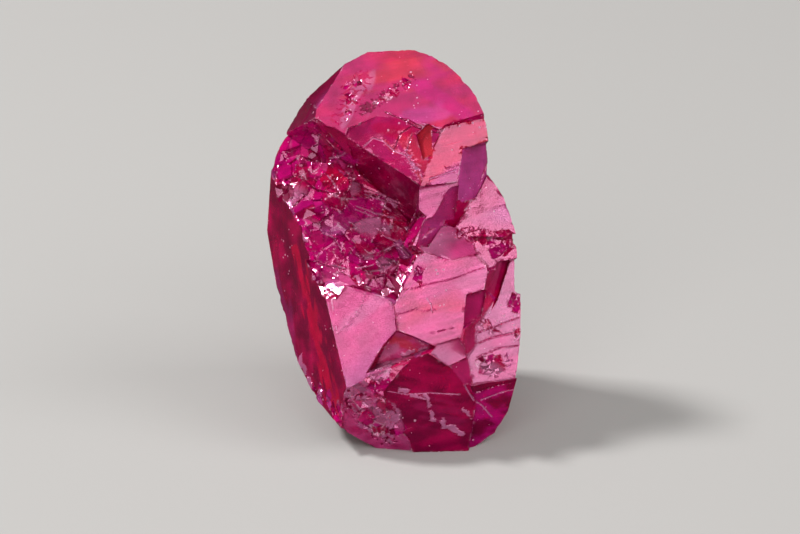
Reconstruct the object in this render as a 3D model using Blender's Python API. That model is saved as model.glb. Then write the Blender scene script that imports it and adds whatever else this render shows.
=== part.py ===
"""Pink sapphire crystal: one broken, etched corundum crystal that stands on its flat base.

The crystal is drawn lying on its back, its show faces up. X runs across it, Y from its foot to
its crown, and Z out of the drawing, through the show faces. It is then stood up by STAND_UP
degrees, cut flat at the foot and moved so that its origin is the middle of the underside.

Three kinds of cut make its shape, as they would on a real stone:
  cleave  a plane takes off everything outside it: the prism, rim and back faces;
  chisel  an outline is sunk to a facet, which leaves a ledge where the next facet is lower;
  strike  a small block takes a splinter, a chip or a pit out of what is there.
"""

import math
import random
from dataclasses import dataclass

import bmesh
import bpy
from mathutils import Euler, Matrix, Vector
from mathutils.bvhtree import BVHTree

NAME = "pink_sapphire_crystal"
MM = 0.001
OUT = Vector((0, 0, 1))

# Driving dimensions, in millimetres and degrees.
STAND_UP = 68.0
FRONT_LIMIT = 7.0
RIM_CENTRE = (0.2, 18.1)
RIM_RADII = (6.12, 6.98)
RIM_ANGLES = (84, 73, 62, 52, 43)
RIM_BACK_TILT = 22.0
STRIKE_END_SLOPE = 62.0
STRIKE_END_RUN = 0.42
STRIKE_SEED = 7

# The block that the stone and every cutter are cleaved from.
BLOCK_SIDE = 60.0
BLOCK_MIDDLE = (0.0, 12.0, 0.0)
SHARED_SIDE_OVERLAP = 0.03

# What a cut is checked and cleaned with: shares of the volume, then millimetres, then rounds.
LEAST_KEPT = 0.8
VOLUME_SLACK = 1e-5
ON_PLANE = 1e-5
WELD = 0.004
TIDY_ROUNDS = 8


@dataclass(frozen=True)
class Plane:
    """A plane through seat that faces right by turn degrees and up by lean degrees."""

    seat: tuple
    turn: float
    lean: float

    @property
    def normal(self):
        turn, lean = math.radians(self.turn), math.radians(self.lean)
        return Vector((math.sin(turn) * math.cos(lean), math.sin(lean), math.cos(turn) * math.cos(lean)))

    def level(self, spot):
        """How far out the plane lies at a spot of the drawing."""
        normal = self.normal
        return self.seat[2] - (normal.x * (spot[0] - self.seat[0])
                               + normal.y * (spot[1] - self.seat[1])) / normal.z


@dataclass(frozen=True)
class Facet:
    """A facet sunk into the stone: its plane, its outline on the drawing and its walls' slope."""

    name: str
    plane: Plane
    outline: tuple
    draft: float = 14.0


@dataclass(frozen=True)
class Shower:
    """A patch of small strikes: where they land, which way they run and how large they are."""

    name: str
    outline: tuple
    count: int
    heading: float
    spread: float
    length: tuple
    width: tuple
    depth: tuple
    roll: tuple = (12, 38)
    pitch: float = 9.0
    from_back: bool = False


# The outer faces. A turn past 90 degrees either way is a face of the back.
OUTER_FACES = {
    "front_limit": Plane((0, 10, FRONT_LIMIT), 0, 0),
    "left_prism": Plane((-4.5, 8.8, 4.75), -61.9, -5.2),
    "crown": Plane((3.47, 19.67, 4.9), -3, 40),
    "left_rim": Plane((-3.47, 23.6, 1.23), -62, 42),
    "left_rim_low": Plane((-5.13, 20.8, 3.3), -70, 22),
    "left_back": Plane((-6.95, 6.13, -0.2), -108.4, -20.9),
    "left_back_mid": Plane((-8.2, 11.4, -1.6), -111, -12),
    "left_back_high": Plane((-8.3, 16.0, -0.6), -108, 10),
    "left_crown_back": Plane((-6.9, 20.5, 0.2), -114, 30),
    "left_crown_top": Plane((-3.9, 23.5, 0.9), -126, 46),
    "crown_back": Plane((-0.2, 24.95, 0.3), -176, 55),
    "right_shoulder": Plane((7.6, 14.6, 2.4), 104, 15),
    "right_mid": Plane((8.35, 11.2, 2.8), 108, 9),
    "right_side": Plane((8.5, 7.6, 2.8), 107, -3),
    "right_low": Plane((7.9, 2.9, 2.9), 104, -10),
    "right_foot": Plane((7.2, 0.4, 2.9), 100, -30),
    "right_toe": Plane((5.9, -1.0, 3.4), 96, -56),
    "left_foot": Plane((-5.45, 2.5, 1.9), -98, -32),
    "left_heel": Plane((-3.95, 0.6, 3.6), -94, -46),
    "left_toe": Plane((-2.1, -0.85, 4.4), -90, -61),
    "back": Plane((0.4, 12.0, -6.4), 180, 23),
    "back_high": Plane((0.6, 21.5, -3.4), 176, 46),
    "back_left": Plane((-5.2, 11.5, -5.0), -140, 11),
    "back_left_high": Plane((-4.4, 19.2, -2.9), -146, 36),
    "back_right": Plane((5.8, 10.5, -4.6), 141, 17),
    "back_right_high": Plane((4.9, 18.2, -2.6), 148, 30),
    "back_low": Plane((0.5, 4.0, -7.6), 176, 4),
    "back_low_left": Plane((-4.4, 5.0, -5.8), -137, -10),
    "back_low_right": Plane((5.6, 4.2, -5.4), 139, -8),
}

# Re-entrant corners: what lies outside both planes of a pair is missing.
SHOULDER_TOP = Plane((6.13, 16.9, 1.4), 100, 33)
NOTCHES = {
    "upper_right": (Plane((6.38, 18.4, 1.3), 106, -6), SHOULDER_TOP),
    "upper_right_rim": (Plane((6.3, 19.0, 4.0), 94, 8), SHOULDER_TOP),
    "upper_right_bevel": (Plane((5.95, 20.6, 3.9), 96, 19), SHOULDER_TOP),
}

# Growth steps on the back: the face, where the ledge lies along the stone, how deep, and which way.
GROWTH_STEPS = (
    ("back", (0.4, 16.2, -4.7), 0.55, 172, 70),
    ("back", (1.5, 8.6, -7.6), 0.45, -168, -62),
    ("back_left", (-5.0, 9.4, -5.4), 0.4, -132, -58),
    ("back_right", (5.7, 13.2, -3.6), 0.5, 128, 68),
    ("back_low_right", (5.4, 5.6, -5.6), 0.5, 150, -60),
    ("right_side", (7.6, 8.2, -1.4), 0.4, 118, 62),
)

# The show facets, from the crown down. Outlines run anticlockwise.
FACETS = (
    Facet("crown_step", Plane((0.0, 19.0, 4.5), -5, 15),
          ((-2.9, 19.6), (-3.1, 19.0), (-2.0, 18.3), (1.8, 15.8), (2.6, 18.4), (3.2, 19.5), (1.6, 19.9),
           (-0.1, 20.9)), 8),
    Facet("upper_face", Plane((3.5, 18.0, 4.75), 17, 8),
          ((1.6, 15.8), (4.2, 16.0), (4.6, 18.3), (7.6, 19.0), (7.6, 20.45), (5.9, 20.3), (3.5, 19.75),
           (3.2, 19.4)), 30),
    Facet("ember_face", Plane((2.4, 18.7, 4.7), -34, 12),
          ((2.0, 17.6), (2.9, 18.0), (3.3, 19.4), (2.3, 19.9), (1.6, 19.2)), 8),
    Facet("plum_face", Plane((4.31, 16.0, 4.75), 61, -1.7),
          ((4.1, 14.6), (5.5, 15.15), (6.3, 16.7), (8.2, 16.9), (8.2, 19.1), (6.3, 18.7), (4.6, 18.3),
           (4.2, 16.2)), 3),
    Facet("lower_tongue", Plane((1.5, 14.5, 5.25), 5, 12),
          ((0.0, 12.9), (0.5, 12.1), (1.6, 11.9), (2.7, 13.6), (3.9, 15.0), (4.3, 16.1), (1.7, 15.7),
           (1.2, 13.8)), 10),
    Facet("plum_underside", Plane((4.0, 14.3, 4.3), 40, -34),
          ((3.4, 13.4), (4.0, 13.2), (5.6, 15.1), (4.2, 14.9), (3.6, 15.2)), 5),
    Facet("tongue_riser", Plane((2.9, 13.9, 4.7), 38, -18),
          ((1.6, 11.9), (2.3, 11.9), (3.2, 13.2), (4.0, 13.4), (4.3, 15.9), (3.6, 15.7), (2.7, 13.8),
           (2.0, 13.6)), 5),
    Facet("shoulder_face", Plane((5.4, 15.1, 2.85), 25, 27),
          ((3.9, 13.3), (4.7, 12.5), (6.8, 12.3), (9.2, 12.0), (9.2, 16.2), (6.2, 17.4), (5.4, 15.1)), 4),
    Facet("middle_face", Plane((3.93, 13.33, 4.2), 5, 24),
          ((1.6, 11.9), (2.1, 11.5), (3.9, 11.0), (5.7, 11.5), (4.8, 12.6), (3.9, 13.3), (2.4, 13.0)), 10),
    Facet("main_face", Plane((3.0, 8.0, 5.9), 3, 9),
          ((0.0, 8.5), (0.4, 6.4), (2.5, 5.3), (4.2, 5.3), (4.7, 7.0), (4.9, 8.7), (6.1, 9.0), (6.4, 10.7),
           (5.6, 11.4), (2.2, 11.5), (1.2, 11.3), (0.1, 9.5)), 10),
    Facet("riser_step", Plane((5.5, 7.9, 4.6), 32, -4),
          ((4.7, 6.7), (5.8, 7.4), (6.1, 9.0), (4.85, 8.7)), 5),
    Facet("deep_riser", Plane((6.1, 9.2, 4.6), 66, -8),
          ((4.4, 4.9), (5.2, 4.4), (5.8, 6.4), (6.9, 8.4), (7.7, 10.9), (6.4, 10.9), (6.0, 8.9),
           (4.7, 6.9)), 4),
    Facet("corner_patch", Plane((7.1, 11.2, 3.2), 30, 12),
          ((6.4, 10.3), (7.6, 10.8), (9.3, 10.8), (9.3, 12.4), (5.2, 12.5), (5.6, 11.3), (6.3, 10.7)), 8),
    Facet("side_face", Plane((6.8, 6.3, 3.35), 18, 10),
          ((5.3, 2.9), (9.3, 3.4), (9.3, 11.3), (7.6, 10.9), (6.8, 8.5), (5.6, 6.6), (5.5, 5.3),
           (5.0, 4.6)), 8),
    Facet("left_panel", Plane((-1.9, 5.5, 5.9), -9, 12),
          ((-5.4, 8.9), (-5.4, 4.0), (-3.1, 2.5), (-2.1, 3.1), (-1.0, 4.1), (-0.2, 5.4), (0.3, 6.2),
           (0.1, 7.5), (-0.1, 8.2), (-0.8, 8.9), (-1.9, 9.5), (-2.8, 9.6), (-3.7, 8.4)), 8),
    Facet("nook", Plane((0.6, 5.4, 5.35), -6, -24),
          ((-1.0, 4.2), (0.9, 4.7), (2.5, 5.3), (1.3, 5.9), (0.2, 6.3), (-0.5, 5.3)), 12),
    Facet("corner_bright", Plane((3.9, 4.8, 5.9), 14, 14),
          ((2.5, 4.9), (3.7, 4.1), (4.9, 4.6), (4.3, 5.9), (2.9, 5.5)), 4),
    Facet("corner_dark", Plane((4.7, 3.6, 5.3), 30, 2),
          ((3.7, 4.1), (4.7, 2.8), (5.9, 3.2), (5.3, 4.2), (4.8, 4.6)), 4),
    Facet("window", Plane((2.4, 1.8, 5.37), 4, -21),
          ((-0.6, 2.4), (-0.4, 0.7), (1.1, -1.0), (2.0, -4.5), (5.0, -4.5), (5.2, 0.3), (5.5, 1.6),
           (5.1, 2.7), (4.0, 3.75), (2.3, 4.9), (1.3, 4.6), (0.1, 3.2)), 4),
    Facet("right_heel", Plane((6.6, 1.6, 3.9), 30, -22),
          ((4.6, -4.5), (9.3, -4.5), (9.3, 3.3), (7.9, 3.3), (5.1, 2.7), (5.5, 1.6)), 6),
    Facet("rubble_ground", Plane((0.0, -1.35, 3.75), -12, -38),
          ((-3.4, -4.5), (2.0, -4.5), (1.1, -0.9), (-0.3, 0.8), (-0.6, 2.4), (0.1, 3.3), (-0.9, 4.1),
           (-2.1, 3.1), (-3.2, 2.6)), 8),
    Facet("scar_upper", Plane((-7.33, 15.67, 0.5), -35, 21),
          ((-9.5, 14.6), (-7.3, 14.2), (-6.2, 13.3), (-3.0, 14.2), (-1.3, 15.3), (-2.3, 17.3), (-3.9, 18.2),
           (-5.6, 19.2), (-7.4, 19.4), (-9.5, 18.9)), 18),
    Facet("scar_wall", Plane((-4.2, 18.9, 3.2), -34, -34),
          ((-5.8, 18.7), (-3.6, 17.4), (-2.0, 17.0), (-2.1, 18.3), (-3.1, 19.1), (-3.9, 19.6),
           (-5.0, 19.9)), 8),
    Facet("dark_wall", Plane((-2.0, 18.47, 4.5), -45, -40.5),
          ((-3.1, 19.1), (-2.4, 17.0), (-0.5, 15.2), (1.1, 13.5), (1.5, 14.3), (1.75, 15.9),
           (-2.0, 18.35)), 5),
    Facet("scar_floor", Plane((-5.4, 10.67, 3.3), 11, -1),
          ((-5.4, 10.6), (-3.0, 10.6), (-0.6, 10.3), (0.3, 11.2), (0.4, 12.2), (1.2, 13.7), (-0.4, 15.4),
           (-2.8, 15.0), (-6.2, 13.4)), 14),
    Facet("scar_foot", Plane((-2.6, 9.9, 3.9), -12, 32),
          ((-5.5, 10.7), (-5.1, 10.2), (-2.8, 9.4), (-0.7, 8.7), (0.1, 8.2), (0.8, 10.0), (1.2, 11.3),
           (0.4, 12.1), (-2.6, 11.6)), 12),
    Facet("scar_fan", Plane((-4.2, 8.9, 4.5), -30, 30),
          ((-5.6, 10.9), (-4.6, 8.6), (-3.8, 8.3), (-3.2, 9.2), (-4.4, 10.9)), 8),
)

# Splinters in the hollow, chips along the ridges and rubble at the foot.
SHOWERS = (
    Shower("hollow_shells", ((-6.0, 13.2), (-3.0, 10.8), (0.2, 11.0), (0.9, 13.6), (-1.2, 15.4),
                             (-4.0, 16.0)),
           16, -30, 22, (2.6, 4.6), (1.2, 2.2), (0.35, 0.8)),
    Shower("upper_rubble", ((-7.8, 15.2), (-2.6, 15.4), (-2.6, 17.4), (-5.0, 18.9), (-7.4, 19.2)),
           34, -50, 60, (0.9, 2.6), (0.6, 1.5), (0.2, 0.6)),
    Shower("hollow_splinters", ((-4.6, 13.8), (-1.0, 13.4), (0.9, 13.2), (0.4, 14.6), (-2.2, 16.2)),
           18, -27, 10, (1.8, 4.2), (0.4, 0.9), (0.2, 0.5)),
    Shower("hollow_floor", ((-5.4, 11.2), (-0.6, 10.6), (0.9, 12.6), (-1.0, 13.2), (-6.0, 13.6)),
           22, -36, 16, (1.6, 3.8), (0.5, 1.3), (0.25, 0.6)),
    Shower("hollow_foot", ((-4.8, 9.4), (-0.8, 9.0), (0.9, 10.6), (-0.4, 11.6), (-5.0, 11.0)),
           16, -48, 36, (0.9, 2.4), (0.5, 1.2), (0.2, 0.6)),
    Shower("foot_rubble", ((-3.0, 2.2), (-1.9, 3.0), (-0.4, 4.2), (0.0, 3.0), (-0.6, 1.2), (0.6, -0.4),
                           (-1.8, -0.4)),
           30, 38, 26, (0.7, 2.0), (0.4, 0.9), (0.15, 0.45)),
    Shower("corner_rubble", ((6.9, 11.4), (8.2, 11.6), (8.0, 13.2), (7.2, 13.2)),
           9, 10, 40, (0.6, 1.4), (0.3, 0.8), (0.15, 0.4)),
    Shower("shoulder_pits", ((4.9, 12.0), (6.6, 11.8), (7.2, 12.6), (5.4, 12.8)),
           8, 12, 60, (0.4, 0.9), (0.3, 0.5), (0.12, 0.28)),
    Shower("side_nicks", ((5.6, 4.4), (6.6, 4.8), (7.4, 3.4), (5.8, 3.2)),
           8, 15, 25, (0.5, 1.5), (0.3, 0.6), (0.1, 0.3)),
    Shower("side_chips", ((7.6, 5.6), (8.3, 5.6), (8.4, 9.4), (7.7, 9.4)),
           7, 80, 30, (0.6, 1.5), (0.3, 0.7), (0.12, 0.35)),
    Shower("crown_pits", ((-3.6, 20.9), (-2.6, 20.6), (-1.8, 22.4), (-2.9, 23.2)),
           8, 60, 60, (0.35, 0.9), (0.25, 0.5), (0.1, 0.24)),
    Shower("crown_pit_row", ((-1.2, 21.3), (0.9, 22.4), (1.0, 23.3), (-0.9, 22.0)),
           9, 40, 40, (0.3, 0.8), (0.25, 0.5), (0.1, 0.22)),
    Shower("main_face_pit", ((1.4, 9.7), (1.9, 9.9), (2.0, 10.5), (1.5, 10.4)),
           3, 70, 20, (0.5, 0.9), (0.3, 0.4), (0.15, 0.25)),
    Shower("left_foot_chips", ((-6.0, 3.2), (-4.6, 1.2), (-3.4, 0.2), (-3.2, 0.9), (-4.9, 3.2)),
           12, -50, 30, (0.6, 1.6), (0.4, 0.8), (0.15, 0.4)),
    Shower("back_chips", ((-6.0, 3.0), (6.0, 3.0), (6.4, 12.0), (3.0, 19.0), (-5.0, 19.0), (-7.0, 12.0)),
           22, 20, 90, (1.0, 3.4), (0.6, 1.8), (0.15, 0.5), from_back=True),
    Shower("back_foot_rubble", ((-4.0, 1.6), (5.0, 1.6), (5.4, 3.6), (-4.6, 3.6)),
           14, 10, 60, (0.8, 2.2), (0.5, 1.2), (0.2, 0.5), from_back=True),
)


def on_stone(across, up, out):
    """A point of the drawing, in metres."""
    return Vector((across, up, out)) * MM


def new_object(name, shape, collection):
    mesh = bpy.data.meshes.new(name)
    shape.to_mesh(mesh)
    shape.free()
    obj = bpy.data.objects.new(name, mesh)
    collection.objects.link(obj)
    return obj


def hide_cutter(cutter):
    cutter.hide_render = True
    cutter.display_type = "WIRE"


def solid_block(side):
    shape = bmesh.new()
    bmesh.ops.create_cube(shape, size=side * MM, matrix=Matrix.Translation(on_stone(*BLOCK_MIDDLE)))
    return shape


def cleave(shape, seat, normal):
    """Takes off what lies outside the plane and closes the face that this leaves."""
    everything = shape.verts[:] + shape.edges[:] + shape.faces[:]
    cut = bmesh.ops.bisect_plane(shape, geom=everything, dist=ON_PLANE * MM, plane_co=seat,
                                 plane_no=normal, clear_outer=True)
    rim = [item for item in cut["geom_cut"] if isinstance(item, bmesh.types.BMEdge)]
    if rim:
        bmesh.ops.contextual_create(shape, geom=rim)


def turns_left(before, corner, after):
    """How far an outline turns left at a corner; it is below zero at a re-entrant one."""
    return ((corner[0] - before[0]) * (after[1] - corner[1])
            - (corner[1] - before[1]) * (after[0] - corner[0]))


def crosses(a, b, c, d):
    """Whether the lines a to b and c to d cross between their ends."""
    return (turns_left(a, b, c) * turns_left(a, b, d) < 0
            and turns_left(c, d, a) * turns_left(c, d, b) < 0)


def convex_parts(outline):
    """The outline parted, at its re-entrant corners, into convex outlines."""
    outline = list(outline)
    count = len(outline)
    sides = list(zip(outline, outline[1:] + outline[:1]))
    for first, corner in enumerate(outline):
        if turns_left(outline[first - 1], corner, outline[(first + 1) % count]) >= 0:
            continue
        cuts = []
        for step in range(2, count - 1):
            far = outline[(first + step) % count]
            middle = (corner[0] + far[0]) / 2, (corner[1] + far[1]) / 2
            blocked = any(crosses(corner, far, *side) for side in sides)
            if blocked or not inside(middle, outline):
                continue
            straightens = (turns_left(outline[first - 1], corner, far) > 0
                           and turns_left(far, corner, outline[(first + 1) % count]) > 0)
            cuts.append((not straightens, math.dist(corner, far), step))
        step = min(cuts)[2]
        turned = outline[first:] + outline[:first]
        return convex_parts(turned[:step + 1]) + convex_parts(turned[step:] + turned[:1])
    return [outline]


def wall(start, end, draft):
    """The outward normal of a wall on the line from start to end that opens by draft degrees."""
    along = (end - start).normalized()
    outward = Vector((along.y, -along.x, 0)).normalized()
    slope = math.radians(draft)
    return along.cross(OUT * math.cos(slope) + outward * math.sin(slope)).normalized()


def facet_cutters(facet, collection):
    """One block for each convex part of the facet: above its plane and inside its outline."""
    outline = list(facet.outline)
    sides = set(zip(outline, outline[1:] + outline[:1]))
    for number, part in enumerate(convex_parts(outline)):
        shape = solid_block(BLOCK_SIDE)
        cleave(shape, on_stone(*facet.plane.seat), -facet.plane.normal)
        for side in zip(part, part[1:] + part[:1]):
            start, end = (on_stone(*spot, facet.plane.level(spot)) for spot in side)
            if side in sides:
                cleave(shape, start, wall(start, end, facet.draft))
            else:
                outward = wall(start, end, 0)
                cleave(shape, start + outward * SHARED_SIDE_OVERLAP * MM, outward)
        hide_cutter(new_object(f"{facet.name}_{number}", shape, collection))


def notch_cutter(name, planes, collection):
    shape = solid_block(BLOCK_SIDE)
    for plane in planes:
        cleave(shape, on_stone(*plane.seat), -plane.normal)
    hide_cutter(new_object(name, shape, collection))


def volume_if_closed(mesh):
    """The mesh's volume in cubic metres, or None when an edge of it is open."""
    shape = bmesh.new()
    shape.from_mesh(mesh)
    closed = all(len(edge.link_faces) == 2 for edge in shape.edges)
    volume = shape.calc_volume()
    shape.free()
    return volume if closed else None


def cut_with(stone, collection):
    """Takes every block of the collection out of the stone, one after the other.

    EXACT fails where a block's corner falls on an edge of the stone, and leaves a mesh that is
    empty, open or larger than before. MANIFOLD makes such a cut.
    """
    for cutter in collection.objects:
        before = volume_if_closed(stone.data)
        for solver in ("EXACT", "MANIFOLD"):
            modifier = stone.modifiers.new(cutter.name, "BOOLEAN")
            modifier.operation = "DIFFERENCE"
            modifier.solver = solver
            modifier.object = cutter
            evaluated = stone.evaluated_get(bpy.context.evaluated_depsgraph_get())
            mesh = bpy.data.meshes.new_from_object(evaluated)
            stone.modifiers.remove(modifier)
            after = volume_if_closed(mesh)
            if after is not None and before * LEAST_KEPT < after <= before * (1 + VOLUME_SLACK):
                stone.data = mesh
                break
        else:
            print(f"{cutter.name} could not be cut")


def inside(spot, outline):
    """Whether a point of the drawing is inside an outline, by counting crossings."""
    crossings = 0
    for (x0, y0), (x1, y1) in zip(outline, outline[1:] + outline[:1]):
        if (y0 > spot[1]) != (y1 > spot[1]) and spot[0] < x0 + (x1 - x0) * (spot[1] - y0) / (y1 - y0):
            crossings += 1
    return crossings % 2 == 1


def spot_in(outline, dice):
    """A point of the drawing inside the outline."""
    across, up = zip(*outline)
    while True:
        spot = dice.uniform(min(across), max(across)), dice.uniform(min(up), max(up))
        if inside(spot, outline):
            return spot


def growth_step_cutter(number, step, collection):
    """Sets a back face in by a step, on the side of the ledge that the ledge faces."""
    face, ledge_seat, depth, ledge_turn, ledge_lean = step
    plane = OUTER_FACES[face]
    set_in = Plane(tuple(Vector(plane.seat) - plane.normal * depth), plane.turn, plane.lean)
    notch_cutter(f"{face}_step_{number}", (set_in, Plane(ledge_seat, ledge_turn, ledge_lean)), collection)


def strike_cutter(name, place, facing, size, swing, collection):
    """A block sunk into the stone at place, square to facing, then swung by heading, pitch and roll."""
    length, width, depth = size
    heading, pitch, roll = (math.radians(angle) for angle in swing)
    along = Vector((math.cos(heading), math.sin(heading), 0))
    along = (along - facing * along.dot(facing)).normalized()
    square_on = Matrix((along, facing.cross(along), facing)).transposed().to_4x4()
    rise = 0.5 * width * (abs(math.cos(roll)) + abs(math.sin(roll)))
    shape = bmesh.new()
    bmesh.ops.create_cube(shape, size=MM, matrix=Matrix.Diagonal((length, width, width, 1)))
    lift = Matrix.Translation(place + facing * (rise - depth) * MM)
    swung = Euler((roll, pitch, 0)).to_matrix().to_4x4()
    bmesh.ops.transform(shape, verts=shape.verts, matrix=lift @ square_on @ swung)
    end_slope = math.radians(STRIKE_END_SLOPE)
    for end in (-along, along):
        slope = end * math.cos(end_slope) - facing * math.sin(end_slope)
        cleave(shape, place + end * STRIKE_END_RUN * length * MM, slope)
    hide_cutter(new_object(name, shape, collection))


def shower_cutters(stone, shower, collection, dice):
    """Strikes scattered over the shower's outline, each where its line meets the stone."""
    tree = BVHTree.FromObject(stone, bpy.context.evaluated_depsgraph_get())
    toward = OUT if shower.from_back else -OUT
    start_level = -BLOCK_SIDE if shower.from_back else BLOCK_SIDE
    for number in range(shower.count):
        spot = spot_in(shower.outline, dice)
        place, facing, _, _ = tree.ray_cast(on_stone(*spot, start_level), toward)
        if place is None:
            continue
        size = [dice.uniform(*limits) for limits in (shower.length, shower.width, shower.depth)]
        swing = (shower.heading + dice.uniform(-shower.spread, shower.spread),
                 dice.uniform(-shower.pitch, shower.pitch),
                 dice.choice((-1, 1)) * dice.uniform(*shower.roll))
        facing = (facing - toward).normalized()
        strike_cutter(f"{shower.name}_{number}", place, facing, size, swing, collection)


def all_triangles(shape):
    bmesh.ops.triangulate(shape, faces=shape.faces, quad_method="BEAUTY", ngon_method="BEAUTY")


def drop_crumbs(shape):
    """Deletes all but the body with the most faces: the cuts leave crumbs that hang by a point."""
    bodies = []
    left = set(shape.faces)
    while left:
        body = set()
        reached = [left.pop()]
        while reached:
            face = reached.pop()
            body.add(face)
            found = {near for edge in face.edges for near in edge.link_faces} & left
            left -= found
            reached.extend(found)
        bodies.append(body)
    bodies.sort(key=len)
    for body in bodies[:-1]:
        bmesh.ops.delete(shape, geom=list(body), context="FACES")


def tidy(stone):
    """Welds the hair-thin slivers that the cuts left, and makes anew the faces this opens."""
    shape = bmesh.new()
    shape.from_mesh(stone.data)
    all_triangles(shape)
    for _ in range(TIDY_ROUNDS):
        bmesh.ops.remove_doubles(shape, verts=shape.verts, dist=WELD * MM)
        bmesh.ops.dissolve_degenerate(shape, dist=WELD * MM, edges=shape.edges)
        split = [edge for edge in shape.edges if len(edge.link_faces) != 2]
        if not split:
            break
        around = {face for edge in split for vert in edge.verts for face in vert.link_faces}
        bmesh.ops.delete(shape, geom=list(around), context="FACES")
        rims = [edge for edge in shape.edges if len(edge.link_faces) == 1]
        bmesh.ops.holes_fill(shape, edges=rims, sides=0)
        bmesh.ops.delete(shape, geom=[edge for edge in shape.edges if edge.is_wire], context="EDGES")
        all_triangles(shape)
    bmesh.ops.recalc_face_normals(shape, faces=shape.faces)
    shape.to_mesh(stone.data)
    shape.free()


def round_rim(block):
    """Rounds the crown's rim with flats that lean back, each touching an oval on the crown face."""
    crown = OUTER_FACES["crown"]
    tilt = math.radians(RIM_BACK_TILT)
    for angle in RIM_ANGLES:
        turn = math.radians(angle)
        across = RIM_CENTRE[0] + RIM_RADII[0] * math.cos(turn)
        up = RIM_CENTRE[1] + RIM_RADII[1] * math.sin(turn)
        along = Vector((-RIM_RADII[0] * math.sin(turn), RIM_RADII[1] * math.cos(turn), 0))
        outward = along.cross(OUT).normalized()
        along.z = crown.level(along) - crown.level((0, 0))
        back = -(OUT * math.cos(tilt) + outward * math.sin(tilt))
        cleave(block, on_stone(across, up, crown.level((across, up))), back.cross(along).normalized())


def stand(stone):
    """Stands the stone up, cuts its foot flat and puts its origin in the middle of the underside."""
    stone.data.transform(Matrix.Rotation(math.radians(STAND_UP), 4, "X"))
    shape = bmesh.new()
    shape.from_mesh(stone.data)
    cleave(shape, Vector((0, 0, 0)), Vector((0, 0, -1)))
    drop_crumbs(shape)
    across = [vert.co.x for vert in shape.verts]
    along = [vert.co.y for vert in shape.verts]
    middle = Vector(((min(across) + max(across)) / 2, (min(along) + max(along)) / 2, 0))
    bmesh.ops.translate(shape, verts=shape.verts, vec=-middle)
    shape.to_mesh(stone.data)
    shape.free()


def sapphire():
    material = bpy.data.materials.new("pink_sapphire")
    material.use_nodes = True
    shader = material.node_tree.nodes["Principled BSDF"]
    shader.inputs["Base Color"].default_value = (0.72, 0.05, 0.24, 1)
    shader.inputs["Roughness"].default_value = 0.04
    shader.inputs["Metallic"].default_value = 0.0
    shader.inputs["IOR"].default_value = 1.77
    shader.inputs["Transmission Weight"].default_value = 0.8
    return material


def new_collection(name):
    collection = bpy.data.collections.new(name)
    bpy.context.scene.collection.children.link(collection)
    return collection


def main():
    for obj in list(bpy.data.objects):
        bpy.data.objects.remove(obj, do_unlink=True)
    parts = new_collection(NAME)
    facet_blocks = new_collection("facet_cutters")
    strike_blocks = new_collection("strike_cutters")

    block = solid_block(BLOCK_SIDE)
    for plane in OUTER_FACES.values():
        cleave(block, on_stone(*plane.seat), plane.normal)
    round_rim(block)
    stone = new_object(NAME, block, parts)
    stone.data.materials.append(sapphire())

    for facet in FACETS:
        facet_cutters(facet, facet_blocks)
    for name, planes in NOTCHES.items():
        notch_cutter(name, planes, facet_blocks)
    for number, step in enumerate(GROWTH_STEPS):
        growth_step_cutter(number, step, facet_blocks)
    cut_with(stone, facet_blocks)

    dice = random.Random(STRIKE_SEED)
    for shower in SHOWERS:
        shower_cutters(stone, shower, strike_blocks, dice)
    cut_with(stone, strike_blocks)
    tidy(stone)
    stand(stone)


if __name__ == "__main__":
    main()
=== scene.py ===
"""Looks of the pink sapphire crystal: growth lines, shells, etching and clear crimson body.

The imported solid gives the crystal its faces, ledges and hollow. This script takes a copy of that
solid, divides it finely, and works the small relief of a natural crystal into the copy: growth
terraces, shell ripples, etch pits and chipped edges. It then dresses the copy in clear sapphire.

Places on the crystal are given on its drawing, as in a mineralogist's plate: millimetres across,
millimetres up from the foot, and millimetres out through the show faces.
"""

import logging
import math
from dataclasses import dataclass, field
from enum import Enum

import bmesh
import bpy
import numpy as np
from mathutils import Matrix, Vector, noise
from mathutils.kdtree import KDTree


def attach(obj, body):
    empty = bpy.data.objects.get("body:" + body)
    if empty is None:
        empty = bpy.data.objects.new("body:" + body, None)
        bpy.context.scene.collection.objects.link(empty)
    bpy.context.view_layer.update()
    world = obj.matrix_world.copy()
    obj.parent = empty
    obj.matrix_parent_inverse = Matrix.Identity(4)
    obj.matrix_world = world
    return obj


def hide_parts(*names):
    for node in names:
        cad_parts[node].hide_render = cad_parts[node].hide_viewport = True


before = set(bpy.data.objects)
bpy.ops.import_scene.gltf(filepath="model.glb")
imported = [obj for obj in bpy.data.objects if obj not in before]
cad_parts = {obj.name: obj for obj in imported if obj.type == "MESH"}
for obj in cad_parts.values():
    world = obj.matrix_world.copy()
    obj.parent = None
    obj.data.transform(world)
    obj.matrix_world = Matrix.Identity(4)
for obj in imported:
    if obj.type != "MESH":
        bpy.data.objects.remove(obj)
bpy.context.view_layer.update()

log = logging.getLogger("crystal")

MM = 0.001
NODE = "pink_sapphire_crystal"


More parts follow.
